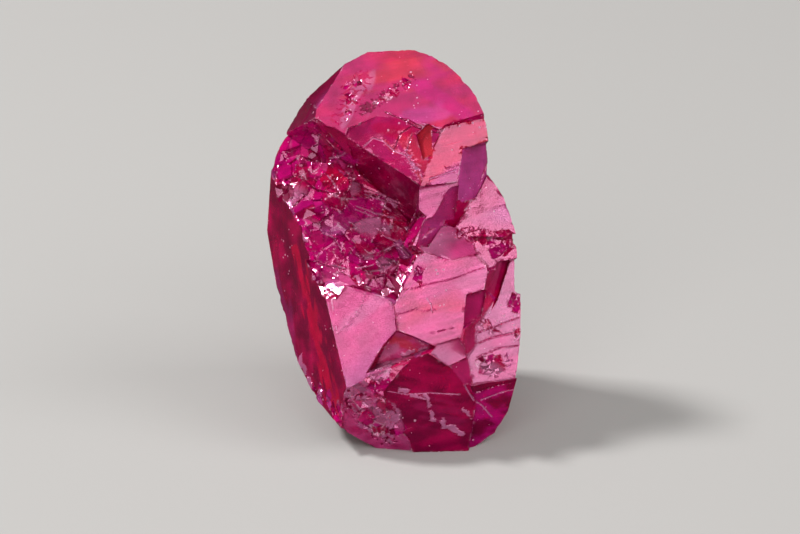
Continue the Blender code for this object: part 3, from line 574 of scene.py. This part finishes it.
@dataclass
class Crystal:
    """The crystal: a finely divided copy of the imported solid, with its small relief and colours.

    Its lengths are in millimetres, its angles in degrees and its shares from 0 to 1, unless a
    field says otherwise.
    """

    drawing: Drawing = field(default_factory=Drawing)
    fine_edge: float = 0.10  # the longest edge left along cracks
    etched_edge: float = 0.15  # the longest edge left in etched patches
    broken_edge: float = 0.175  # the longest edge left on the broken skin of the show side
    face_edge: float = 0.28  # the longest edge left on the flat faces of the show side
    back_edge: float = 0.55  # the longest edge left elsewhere
    etched_reach: float = 1.2  # how many of its widths an etched patch's fine edges reach
    crack_reach: float = 2.5  # how many of its widths a crack's fine edges reach
    level: float = 0.02  # how far off a flat face an edge's middle still belongs to it
    divide_rounds: int = 10  # how often edges may be halved
    weld: float = 0.005  # how near points are joined
    flat_bend: float = 0.01  # the bend in radians below which two triangles count as flat
    most_reshaped: int = 70000  # the most triangles that are still turned to a better shape
    back_cloud: float = 3.2  # how large the clouds of the unnamed skin are
    back_wine: float = 0.7  # how much of that skin's colour its wine depths take up
    back_frost: float = 0.25  # how frosted that skin is
    back_lines: float = 0.5  # how strongly growth lines show on it
    cloud_draw: float = 1 / 2.2  # how much slower a face's clouds change along its growth lines
    plate: float = 1.25  # how far apart the broken skin's plates are
    tilt: float = 0.05  # how far a plate is tipped, as its rise over its run
    offset: float = 0.008  # how far a plate stands up or lies back
    most_tip: float = 0.12  # the most that a tipped plate rises or falls
    plate_fade: float = 0.3  # how far from a flat face the plates reach their full height
    seam: float = 0.05  # how wide the dark seams between plates are
    seam_shade: float = 0.6  # how much of its colour a seam keeps
    shown: float = 0.15  # how far a broken facet must face the show side to have plates
    shell: float = 0.006  # height of the shell ripples on broken faces
    shell_size: float = 0.6  # how far apart the shells are
    shell_draw: float = 0.3  # how much slower they change along themselves than across
    shell_rise: float = -30.0  # the angle at which they climb to the right on the drawing
    shell_fade: float = 0.25  # how far from a flat face they reach their full height
    terrace_draw: float = 1 / 12  # how much slower the terraces change along themselves than across
    terrace_wander: float = 0.12  # how far their edges wander
    terrace_steps: float = 2.5  # about how many lie between a hill of the noise and its middle
    terrace_fade: float = 0.15  # how far from an edge they reach their full height
    zone_reach: float = 1.6  # how many of its widths a zone may reach
    zone_draw: float = 0.15  # how much slower a zone's flecks change along it than across
    zone_flecks: float = 1.3  # how strongly the flecks break a zone up
    zone_facing: float = -0.2  # how far a triangle must face the show side to take a zone's colour
    crack_wobble: float = 0.5  # how far a crack wanders, as a share of its width
    pale_frost: float = 0.5  # how frosted a pale crack or rib is
    dark_frost: float = 0.2  # how frosted a dark crack is
    channel_width: float = 0.16  # how wide etch channels are, as a share of the noise's height
    channel_spread: float = 0.12  # how much wider they are in the middle of their patch
    island_spread: float = 0.8  # how much larger islands are in the middle of their patch
    island_rarity: float = 0.5  # how few of them there are
    island_frost: float = 0.65  # how frosted an etched patch's islands are
    channel_frost: float = 0.1  # how frosted its channels are
    chip: float = 0.10  # how deep edges are chipped
    wide_chips: float = 1.6  # the wide chips' share of that depth, above 1 to reach it at all
    small_chips: float = 0.5  # the small chips' share
    chipped_bends: tuple[float, float] = (12.0, 60.0)  # where chipping begins, and is in full
    inner_chip: float = 0.15  # the share of a chip's depth on edges inside the broken skin
    worn_and_glint_reach: float = 0.15  # how far from an edge the worn pale band, partly a painted highlight, reaches
    sharp_bend: float = 12.0  # the bend from which an edge is shaded as sharp
    seed: int = 11  # the number that settles the plates' places
    relief: Relief = field(init=False)  # its arrays, once it is divided

    def build(self) -> bpy.types.Object:
        """Builds the crystal.

        Returns:
            The piece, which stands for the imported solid.
        """
        mesh = self._divided()
        self.relief = relief = Relief(mesh, self.drawing)
        self._clouds()
        seams = self._plates()
        self._shells()
        self._terraces()
        self._zones()
        relief.colours[seams] *= self.seam_shade
        self._cracks()
        self._etchings()
        self._chip_edges()
        relief.store()
        lines = np.append([face.lines for face in FACES], self.back_lines)
        relief.keep("lines", "FACE", lines[relief.face_of])
        # How near each point is to an edge, for the worn edges and the highlight painted along
        # them.
        relief.keep("edge", "POINT", np.clip(1.0 - relief.edge_gap / self.worn_and_glint_reach, 0.0, 1.0))
        mesh.set_sharp_from_angle(angle=math.radians(self.sharp_bend))
        return placed("crystal", mesh)

    def _wanted(self, middles: np.ndarray, shown: np.ndarray) -> np.ndarray:
        """The longest edge that is wanted at places of the crystal.

        Args:
            middles: the places, on the drawing.
            shown: whether each is on the show side.

        Returns:
            One length for each place.
        """
        wanted = np.where(shown, self.broken_edge, self.back_edge)
        for face in FACES:
            level = np.abs((middles - np.array(face.seat)) @ face.normal()) < self.level
            wanted[level & shown] = self.face_edge
        for patch in ETCHINGS:
            near = gap_to_line(middles, patch.start, patch.end) < patch.width * self.etched_reach
            wanted[near & shown] = self.etched_edge
        for crack in CRACKS:
            near = gap_to_line(middles, *crack.line) < crack.width * self.crack_reach
            wanted[near & shown] = self.fine_edge
        return wanted

    def _halved(self, points: np.ndarray, triangles: np.ndarray) -> tuple[np.ndarray, np.ndarray]:
        """Halves the edges that are too long, and splits the triangles on them.

        Args:
            points: the points, on the drawing.
            triangles: the triangles, three point numbers to a row.

        Returns:
            The points and the triangles after that, the same ones where no edge was too long.
        """
        sides = np.sort(triangles[:, [[0, 1], [1, 2], [2, 0]]].reshape(-1, 2), axis=1)
        edges, edge_of = np.unique(sides, axis=0, return_inverse=True)
        edge_of = edge_of.reshape(-1, 3)
        a, b, c = (points[triangles[:, corner]] for corner in range(3))
        shown = np.zeros(len(edges), bool)
        shown[edge_of[np.cross(b - a, c - a)[:, 2] > 0.0].ravel()] = True
        middles = points[edges].mean(axis=1)
        lengths = np.linalg.norm(points[edges[:, 0]] - points[edges[:, 1]], axis=1)
        long = lengths > self._wanted(middles, shown)
        if not long.any():
            return points, triangles
        middle_of = np.full(len(edges), -1)
        middle_of[long] = len(points) + np.arange(long.sum())
        points = np.vstack([points, middles[long]])
        middle = middle_of[edge_of]
        cuts = (middle >= 0).sum(axis=1)
        # Each triangle is turned so that its one cut side, or the first of its two, comes first.
        first = np.where(cuts == 1, np.argmax(middle >= 0, axis=1), 0)
        first = np.where(cuts == 2, (np.argmax(middle < 0, axis=1) + 1) % 3, first)
        order = (first[:, None] + np.arange(3)) % 3
        a, b, c = np.take_along_axis(triangles, order, axis=1).T
        ab, bc, ca = np.take_along_axis(middle, order, axis=1).T
        uncut, one, two, three = (cuts == number for number in range(4))
        from_a, from_c = points[a] - points[bc], points[ab] - points[c]
        near = np.linalg.norm(from_a, axis=1) < np.linalg.norm(from_c, axis=1)
        pieces = ((uncut, a, b, c), (one, a, ab, c), (one, ab, b, c), (two, ab, b, bc),
                  (two & near, a, ab, bc), (two & near, a, bc, c), (two & ~near, a, ab, c),
                  (two & ~near, ab, bc, c), (three, a, ab, ca), (three, ab, b, bc),
                  (three, bc, c, ca), (three, ab, bc, ca))
        return points, np.vstack([np.stack(corners, axis=1)[chosen] for chosen, *corners in pieces])

    def _reshaped(self, points: np.ndarray, triangles: np.ndarray) -> np.ndarray:
        """Turns edges inside flat faces so that the triangles there are better shaped.

        Args:
            points: the points, on the drawing.
            triangles: the triangles, three point numbers to a row.

        Returns:
            The triangles after that.
        """
        mesh = self._mesh(points, triangles)
        shape = bmesh.new()
        shape.from_mesh(mesh)
        flat = [edge for edge in shape.edges if edge.calc_face_angle(1.0) < self.flat_bend]
        bmesh.ops.beautify_fill(shape, faces=shape.faces, edges=flat, method="ANGLE")
        shape.to_mesh(mesh)
        shape.free()
        corners = corners_of(mesh)
        bpy.data.meshes.remove(mesh)
        return corners

    @staticmethod
    def _mesh(points: np.ndarray, triangles: np.ndarray) -> bpy.types.Mesh:
        """Makes a mesh.

        Args:
            points: its points.
            triangles: its triangles, three point numbers to a row.

        Returns:
            The new mesh.
        """
        mesh = bpy.data.meshes.new("crystal")
        mesh.from_pydata(points.tolist(), [], triangles.tolist())
        mesh.update()
        return mesh

    def _divided(self) -> bpy.types.Mesh:
        """A copy of the solid's mesh, divided into short edges and well shaped triangles."""
        solid = bmesh.new()
        solid.from_mesh(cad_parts[NODE].data)
        bmesh.ops.remove_doubles(solid, verts=solid.verts, dist=self.weld * MM)
        bmesh.ops.triangulate(solid, faces=solid.faces)
        solid.transform(self.drawing.to_row().inverted())
        solid.verts.index_update()
        points = np.array([vert.co for vert in solid.verts])
        triangles = np.array([[vert.index for vert in face.verts] for face in solid.faces])
        solid.free()
        for _ in range(self.divide_rounds):
            count = len(triangles)
            points, triangles = self._halved(points, triangles)
            if len(triangles) == count:
                break
            if count < self.most_reshaped:
                triangles = self._reshaped(points, triangles)
        mesh = self._mesh(points, triangles)
        mesh.transform(self.drawing.to_row())
        mesh.polygons.foreach_set("use_smooth", np.ones(len(mesh.polygons), bool))
        return mesh

    def _clouds(self) -> None:
        """Gives every triangle its first colour and frost.

        The clouds of a named face are drawn out along its growth lines. The rest of the skin is
        ruby, clouded with magenta and wine.
        """
        relief = self.relief
        spread = noise_at(relief.centres, self.back_cloud, seed=30.0)
        spread = smooth_step(spread, low=-0.3, high=0.4)
        depths = noise_at(relief.centres, self.back_cloud * 0.6, seed=33.0)
        depths = smooth_step(depths, low=-0.2, high=0.5)
        relief.paint(slice(None), Tint.RUBY, self.back_frost)
        relief.colours = blended(relief.colours, Tint.MAGENTA, spread)
        relief.colours = blended(relief.colours, Tint.WINE, self.back_wine * depths)
        for number, face in enumerate(FACES):
            on = relief.face_of == number
            spots = drawn_out(relief.centres[on], face.rise, self.cloud_draw, face.seat[2])
            clouds = noise_at(spots, face.cloud, seed=number + 3.0)
            clouds += 0.5 * noise_at(spots, face.cloud * 0.4, seed=number + 9.0)
            relief.paint(on, face.tint, face.frost)
            share = smooth_step(clouds, low=-0.25, high=0.75)
            relief.colours[on] = blended(relief.colours[on], face.veil, share)

    def _plates(self) -> np.ndarray:
        """Breaks the broken skin of the show side into small tilted plates, each of one colour.

        A plate draws the places of its triangles towards its seat, so that a zone's colour falls on
        whole plates.

        Returns:
            A flag for each triangle that lies in a seam between two plates.
        """
        relief = self.relief
        chance = np.random.default_rng(self.seed)
        low, high = relief.points.min(axis=0), relief.points.max(axis=0)
        count = int(np.prod((high - low) / self.plate))
        seats = chance.uniform(low, high, (count, 3))
        tilts = chance.normal(0.0, self.tilt, (count, 3))
        offsets = chance.uniform(-self.offset, self.offset, count)
        kind_of = chance.choice(len(PLATE_KINDS), count, p=[kind.share for kind in PLATE_KINDS])
        tree = KDTree(count)
        for index, seat in enumerate(seats):
            tree.insert(seat, index)
        tree.balance()
        height = np.zeros(len(relief.points))
        for index in np.flatnonzero((relief.point_face < 0) & (relief.normals[:, 2] > self.shown)):
            point = relief.points[index]
            plate = tree.find(point)[1]
            tip = np.clip(tilts[plate] @ (point - seats[plate]), -self.most_tip, self.most_tip)
            height[index] = tip + offsets[plate]
        relief.lift(height * smooth_step(relief.border_gap, 0.0, self.plate_fade))
        seams = np.zeros(len(relief.centres), bool)
        for index in np.flatnonzero((relief.face_of < 0) & (relief.flats[:, 2] > self.shown)):
            (_, plate, near), (_, _, far) = tree.find_n(relief.centres[index], 2)
            seams[index] = far - near < self.seam
            relief.places[index] = (seats[plate] + relief.centres[index]) * 0.5
            kind = PLATE_KINDS[kind_of[plate]]
            relief.paint(index, kind.tint, kind.frost)
        return seams

    def _shells(self) -> None:
        """Ripples the broken skin with fine shells, drawn out down to the right."""
        relief = self.relief
        broken = relief.point_face < 0
        spots = drawn_out(relief.points[broken], self.shell_rise, self.shell_draw,
                          relief.points[broken, 2])
        height = np.zeros(len(relief.points))
        height[broken] = -np.abs(noise_at(spots, self.shell_size, seed=4.0)) * 2.0 * self.shell
        relief.lift(height * smooth_step(relief.border_gap, 0.0, self.shell_fade))

    def _terraces(self) -> None:
        """Steps the grown faces in thin terraces."""
        relief = self.relief
        height = np.zeros(len(relief.points))
        for number, face in enumerate(FACES):
            on = relief.point_face == number
            spots = drawn_out(relief.points[on], face.rise, self.terrace_draw, face.seat[0])
            spots[:, 1] += self.terrace_wander * noise_at(relief.points[on], 1.2, seed=number + 2.0)
            height[on] = face.terrace * np.round(self.terrace_steps * noise_at(spots, face.spacing))
        relief.lift(height * smooth_step(relief.edge_gap, 0.0, self.terrace_fade))

    def _zones(self) -> None:
        """Blends the colour zones into the colours."""
        relief = self.relief
        front = relief.flats[:, 2] > self.zone_facing
        for number, zone in enumerate(ZONES):
            gaps = gap_to_line(relief.places, zone.start, zone.end)
            near = front & (gaps < zone.width * self.zone_reach)
            near &= relief.within(relief.face_of, zone.faces)
            right, up = np.array(zone.end) - np.array(zone.start)
            rise = math.degrees(math.atan2(up, right))
            spots = drawn_out(relief.places[near], rise, self.zone_draw,
                              relief.places[near, 2] * 0.3)
            flecks = noise_at(spots, zone.grain, seed=number + 20.0)
            share = smooth_step(0.9 - gaps[near] / zone.width + self.zone_flecks * flecks,
                                low=0.0, high=0.6)
            relief.colours[near] = blended(relief.colours[near], zone.tint, share * zone.strength)

    def _cracks(self) -> None:
        """Cuts the cracks and growth lines, and raises the ribs."""
        relief = self.relief
        height = np.zeros(len(relief.points))
        for crack in CRACKS:
            on = relief.within(relief.point_face, crack.faces)
            waves = noise_at(relief.points[on], scale=0.3, seed=6.0)
            wobble = self.crack_wobble * crack.width * waves
            gaps = gap_to_line(relief.points[on], *crack.line) + wobble
            height[on] -= crack.depth * smooth_step(gaps, crack.width * 2.0, 0.0)
            near = gap_to_line(relief.centres, *crack.line) < crack.width
            frost = self.pale_frost if crack.tint is Tint.LILAC else self.dark_frost
            relief.paint(near & relief.within(relief.face_of, crack.faces), crack.tint, frost)
        relief.lift(height)

    def _etchings(self) -> None:
        """Eats the etch channels and leaves the frosted islands, a few of them pale painted
        highlights.
        """
        relief = self.relief
        height = np.zeros(len(relief.points))
        for number, patch in enumerate(ETCHINGS):
            on = np.flatnonzero(relief.within(relief.point_face, patch.faces))
            inward = 1.0 - gap_to_line(relief.points[on], patch.start, patch.end) / patch.width
            on, inward = on[inward > -0.5], inward[inward > -0.5]
            waves = noise_at(relief.points[on], patch.scale, seed=number + 40.0)
            if patch.height < 0:
                reach = self.channel_width + self.channel_spread * inward - np.abs(waves)
                mask = smooth_step(reach, low=0.0, high=0.14)
                mask *= smooth_step(inward, low=-0.3, high=0.3)
            else:
                reach = waves + self.island_spread * inward - self.island_rarity
                mask = smooth_step(reach, low=0.0, high=0.12)
            height[on] += patch.height * mask
            shown = np.zeros(len(relief.points))
            shown[on] = mask
            marked = shown[relief.corners].mean(axis=1) > 0.5
            frost = self.island_frost if patch.height > 0 else self.channel_frost
            relief.paint(marked, patch.tint, frost)
        relief.lift(height)

    def _chip_edges(self) -> None:
        """Nicks the crystal's edges inwards, in wide chips with small ones between them."""
        relief = self.relief
        spots = relief.points[relief.sharp]
        depth = self.wide_chips * np.clip(noise_at(spots, scale=0.5, seed=9.0) - 0.1, 0.0, 1.0)
        depth += self.small_chips * np.clip(noise_at(spots, scale=0.2, seed=5.0), 0.0, 1.0)
        depth *= smooth_step(relief.bend[relief.sharp], *self.chipped_bends)
        depth *= np.where(relief.border[relief.sharp], 1.0, self.inner_chip)
        height = np.zeros(len(relief.points))
        height[relief.sharp] = -depth * self.chip
        relief.lift(height)


Socket = bpy.types.NodeSocket


class Nodes:
    """The nodes of a material or a world."""

    def __init__(self, tree: bpy.types.NodeTree) -> None:
        """Takes the tree that the nodes go into."""
        self.tree = tree

    def fill(self, node: bpy.types.Node, inputs: dict[str | int, object]) -> None:
        """Sets a node's input sockets.

        Args:
            node: the node.
            inputs: what goes into its sockets, by name or number: a socket or a plain value.
        """
        for name, value in inputs.items():
            if isinstance(value, Socket):
                self.tree.links.new(value, node.inputs[name])
            else:
                node.inputs[name].default_value = value

    def add(self, kind: str, output: str, inputs: dict[str | int, object],
            **settings: object) -> Socket:
        """Adds a shader node.

        Args:
            kind: its type, without the ShaderNode that it starts with.
            output: the name of the output that is wanted.
            inputs: what goes into its sockets, as for fill.
            settings: its own settings.

        Returns:
            The output socket.
        """
        node = self.tree.nodes.new("ShaderNode" + kind)
        for name, value in settings.items():
            setattr(node, name, value)
        self.fill(node, inputs)
        return node.outputs[output]

    def attribute(self, name: str, output: str = "Fac") -> Socket:
        """Reads a value or colour that the mesh carries."""
        return self.add("Attribute", output, {}, attribute_name=name)

    def place(self) -> Socket:
        """The place on the crystal, in metres."""
        return self.add("TexCoord", "Object", {})

    def clamped(self, operation: str, first: Socket, second: Socket | float) -> Socket:
        """Joins two values by a Math operation, and keeps the result between 0 and 1."""
        return self.add("Math", "Value", {0: first, 1: second}, operation=operation, use_clamp=True)

    def mix(self, share: Socket | float, under: object, over: object, blend: str = "MIX") -> Socket:
        """Lays one colour over another."""
        inputs = {"Factor": share, "A": under, "B": over}
        return self.add("Mix", "Result", inputs, data_type="RGBA", blend_type=blend)

    def noise(self, place: Socket, per_metre: float, detail: float, low: float = 0.0,
              high: float = 1.0, to_low: float = 0.0, to_high: float = 1.0) -> Socket:
        """Noise with so many hills in a metre, its low to high mapped to to_low to to_high."""
        value = self.add("TexNoise", "Fac", {"Vector": place, "Scale": per_metre, "Detail": detail})
        return self.add("MapRange", "Result", {"Value": value, "From Min": low, "From Max": high,
                                               "To Min": to_low, "To Max": to_high})


@dataclass(frozen=True)
class Sapphire:
    """Clear crimson-pink corundum."""

    clear_roughness: float = 0.05  # roughness of a bright face
    frost_roughness: float = 0.42  # roughness of a fully frosted one
    ior: float = 1.77  # corundum's refractive index
    gloss_tint: tuple[float, float, float] = (1.0, 0.45, 0.70)  # the colour of what a face mirrors
    transmission: float = 0.70  # share of the body that is clear
    absorb_colour: tuple[float, float, float] = (0.80, 0.0, 0.47)  # what the volume lets through
    absorb_density: float = 250.0  # how strongly it absorbs, per metre
    speck: tuple[float, float, float] = (1.0, 0.48, 0.70)  # the colour of dust specks and of chipped edges, on the edges partly a painted highlight
    mottles: float = 900.0  # hills of the body's mottling in a metre
    lines: float = 4200.0  # growth lines in a metre
    line_rise: float = 14.0  # the angle at which they climb to the right, in degrees
    line_draw: float = 0.05  # how much slower they change along themselves than across
    specks: float = 2100.0  # specks in a metre
    crowds: float = 420.0  # crowds of specks in a metre
    crowding: float = 0.24  # how large a speck is at most, as a share of its room
    wear_and_glints: float = 1300.0  # worn stretches in a metre of edge, pale from crushed powder and from a painted highlight
    wear_and_glint_narrowing: float = 2.5  # how fast the worn pale band and its painted highlight fade away from an edge
    swells: float = 1100.0  # swells of a face in a metre
    swell_strength: float = 0.5
    swell_height: float = 0.00004  # in metres
    grains: float = 9000.0  # grains of frost in a metre
    grain_strength: float = 0.18
    grain_height: float = 0.000012  # in metres

    def material(self) -> bpy.types.Material:
        """Builds the material.

        Returns:
            The sapphire material.
        """
        material = bpy.data.materials.new("pink_sapphire")
        material.use_nodes = True
        nodes = Nodes(material.node_tree)
        shader = nodes.tree.nodes["Principled BSDF"]
        shader.inputs["IOR"].default_value = self.ior
        shader.inputs["Transmission Weight"].default_value = self.transmission
        shader.inputs["Metallic"].default_value = 0.0
        shader.inputs["Specular Tint"].default_value = (*self.gloss_tint, 1.0)
        place, frost = nodes.place(), nodes.attribute("frost")
        mottling = nodes.noise(place, self.mottles, 5.0, 0.3, 0.7, 0.72, 1.18)
        body = nodes.mix(1.0, nodes.attribute("tint", "Color"), mottling, "MULTIPLY")
        body = nodes.mix(1.0, body, self._growth_lines(nodes, place), "MULTIPLY")
        # Dust specks and worn edges make the body pale and rough; on the edges the pale colour is
        # partly a painted highlight.
        marks = nodes.clamped("MAXIMUM", self._specks(nodes, place), self._worn_edges_and_glints(nodes, place))
        rough = nodes.add("MapRange", "Result", {"Value": nodes.clamped("MAXIMUM", frost, marks),
                                                 "To Min": self.clear_roughness,
                                                 "To Max": self.frost_roughness})
        nodes.fill(shader, {"Base Color": nodes.mix(marks, body, (*self.speck, 1.0)),
                            "Roughness": rough, "Normal": self._grain(nodes, place, frost)})
        absorption = nodes.add("VolumeAbsorption", "Volume", {"Color": (*self.absorb_colour, 1.0),
                                                              "Density": self.absorb_density})
        nodes.fill(nodes.tree.nodes["Material Output"], {"Volume": absorption})
        return material

    def _growth_lines(self, nodes: Nodes, place: Socket) -> Socket:
        """Fine straight growth lines that climb to the right across the grown faces.

        Args:
            nodes: the material's nodes.
            place: the place on the crystal.

        Returns:
            A value round 1 that shades the lines.
        """
        to_row = Drawing().to_row().to_3x3()
        climb = math.radians(self.line_rise)
        spread = {}
        for axis, way, scale in (("X", (math.cos(climb), math.sin(climb), 0.0), self.line_draw),
                                 ("Y", (-math.sin(climb), math.cos(climb), 0.0), 1.0)):
            along = (to_row @ Vector(way)).normalized() * scale
            spread[axis] = nodes.add("VectorMath", "Value", {0: place, 1: along},
                                     operation="DOT_PRODUCT")
        drawn = nodes.add("CombineXYZ", "Vector", spread)
        shade = nodes.noise(drawn, self.lines, 2.0, 0.35, 0.65, -0.30, 0.16)
        return nodes.add("Math", "Value", {0: shade, 1: nodes.attribute("lines"), 2: 1.0},
                         operation="MULTIPLY_ADD")

    def _specks(self, nodes: Nodes, place: Socket) -> Socket:
        """Marks scattered fine specks, thicker in some places than in others."""
        cells = nodes.add("TexVoronoi", "Distance", {"Vector": place, "Scale": self.specks})
        crowd = nodes.noise(place, self.crowds, 3.0, 0.45, 0.75, 0.0, self.crowding)
        return nodes.clamped("LESS_THAN", cells, crowd)

    def _worn_edges_and_glints(self, nodes: Nodes, place: Socket) -> Socket:
        """Marks the stretches of edge that are crushed to a pale powder, painted pale partly as a
        highlight where edges catch the light.
        """
        near = nodes.clamped("POWER", nodes.attribute("edge"), self.wear_and_glint_narrowing)
        patches = nodes.noise(place, self.wear_and_glints, 4.0, 0.56, 0.66, 0.0, 0.9)
        return nodes.clamped("MULTIPLY", near, patches)

    def _grain(self, nodes: Nodes, place: Socket, frost: Socket) -> Socket:
        """The fine grain of a frosted face over the slight swell that every face has.

        Args:
            nodes: the material's nodes.
            place: the place on the crystal.
            frost: how frosted the face is.

        Returns:
            The bumped normal's socket.
        """
        swell = nodes.add("Bump", "Normal", {"Height": nodes.noise(place, self.swells, 3.0),
                                             "Strength": self.swell_strength,
                                             "Distance": self.swell_height})
        height = nodes.clamped("MULTIPLY", nodes.noise(place, self.grains, 2.0, 0.2, 0.8), frost)
        return nodes.add("Bump", "Normal", {"Height": height, "Normal": swell,
                                            "Strength": self.grain_strength,
                                            "Distance": self.grain_height})


@dataclass(frozen=True)
class Studio:
    """The floor, the soft lights and the camera."""

    drawing: Drawing = field(default_factory=Drawing)
    view_up: float = 22.0  # how far the camera looks down, in degrees
    aim: tuple[float, float, float] = (0.467, 10.533, 0.0)  # the point that it looks at
    distance: float = 0.2963  # from that point to the camera, in metres
    lens: float = 200.0  # the camera's focal length in millimetres
    sensor: float = 36.0  # the width of its sensor in millimetres
    nearest: float = 0.01  # the nearest that it sees, in metres
    floor_half: float = 1.5  # half the floor's side in metres
    floor_colour: tuple[float, float, float] = (0.275, 0.268, 0.26)
    floor_roughness: float = 0.9
    floor_gloss: float = 0.1
    surround_colour: tuple[float, float, float] = (1.0, 0.98, 0.96)  # of the light from all round
    surround_strength: float = 0.3
    mirror_share: float = 0.1  # how much of the floor and the surround a mirroring face sees
    reach: float = 0.5  # from the crystal's middle to each light, in metres
    middle: float = 0.01  # how high that middle is, in metres

    def camera(self) -> None:
        """Places the camera square to the crystal's drawing."""
        data = bpy.data.cameras.new("camera")
        data.lens = self.lens
        data.sensor_width = self.sensor
        data.clip_start = self.nearest
        camera = placed("camera", data)
        camera.rotation_euler = (math.radians(90.0 - self.view_up), 0.0, 0.0)
        camera.location = self.drawing.place(*self.aim) + self.drawing.facing() * self.distance
        bpy.context.scene.camera = camera

    def floor(self) -> None:
        """Lays a plain pale floor under the crystal."""
        shape = bmesh.new()
        bmesh.ops.create_grid(shape, x_segments=1, y_segments=1, size=self.floor_half)
        mesh = bpy.data.meshes.new("floor")
        shape.to_mesh(mesh)
        shape.free()
        material = bpy.data.materials.new("floor")
        material.use_nodes = True
        nodes = Nodes(material.node_tree)
        shader = nodes.tree.nodes["Principled BSDF"]
        shader.inputs["Roughness"].default_value = self.floor_roughness
        shader.inputs["Specular IOR Level"].default_value = self.floor_gloss
        nodes.fill(shader, {"Base Color": self.flagged(nodes, self.floor_colour)})
        mesh.materials.append(material)
        placed("floor", mesh)

    def flagged(self, nodes: Nodes, colour: tuple[float, float, float]) -> Socket:
        """A colour that a mirror sees dimmed, as it does between a studio's black flags.

        Args:
            nodes: the nodes that take the colour.
            colour: the colour as it is seen straight on.

        Returns:
            The socket that gives the colour.
        """
        mirrored = nodes.add("LightPath", "Is Glossy Ray", {})
        dimmed = (*(part * self.mirror_share for part in colour), 1.0)
        return nodes.mix(mirrored, (*colour, 1.0), dimmed)

    def softbox(self, name: str, azimuth: float, elevation: float, size: tuple[float, float],
                power: float) -> None:
        """Hangs one soft light that faces the crystal.

        Args:
            name: the light's name.
            azimuth: where it hangs, in degrees to the right of the camera.
            elevation: how high it hangs, in degrees.
            size: its width and height in metres.
            power: its power in watts.
        """
        data = bpy.data.lights.new(name, "AREA")
        data.shape = "RECTANGLE"
        data.size, data.size_y = size
        data.energy = power
        lamp = placed(name, data)
        turn, up = math.radians(azimuth), math.radians(elevation)
        level = math.cos(up)
        outward = Vector((math.sin(turn) * level, -math.cos(turn) * level, math.sin(up)))
        lamp.location = Vector((0.0, 0.0, self.middle)) + outward * self.reach
        lamp.rotation_euler = outward.to_track_quat("Z", "Y").to_euler()

    def light(self) -> None:
        """Lights the stage with soft boxes and a pale surround."""
        self.softbox("front_strip", 10.0, 40.0, (0.90, 0.20), 2.3)
        self.softbox("key_light", -106.0, 53.0, (0.08, 0.08), 3.5)
        self.softbox("top_light", -164.0, 77.0, (0.30, 0.30), 0.2)
        self.softbox("front_fill", -12.0, 10.0, (0.35, 0.25), 0.9)
        self.softbox("right_fill", 80.0, 40.0, (0.25, 0.25), 1.3)
        world = bpy.data.worlds.new("surround")
        world.use_nodes = True
        nodes = Nodes(world.node_tree)
        nodes.fill(nodes.tree.nodes["Background"],
                   {"Strength": self.surround_strength,
                    "Color": self.flagged(nodes, self.surround_colour)})
        bpy.context.scene.world = world

    def set_up(self) -> None:
        """Builds the whole stage, and shows its light as it is, with no film curve."""
        bpy.context.scene.view_settings.view_transform = "Standard"
        self.camera()
        self.floor()
        self.light()


def main() -> None:
    """Builds the stage and the crystal, and reports the piece."""
    logging.basicConfig(level=logging.INFO)
    Studio().set_up()
    piece = Crystal().build()
    piece.data.materials.append(Sapphire().material())
    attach(piece, "root")
    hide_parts(NODE)
    log.info("%s: %d triangles", piece.name, len(piece.data.polygons))


if __name__ == "__main__":
    main()
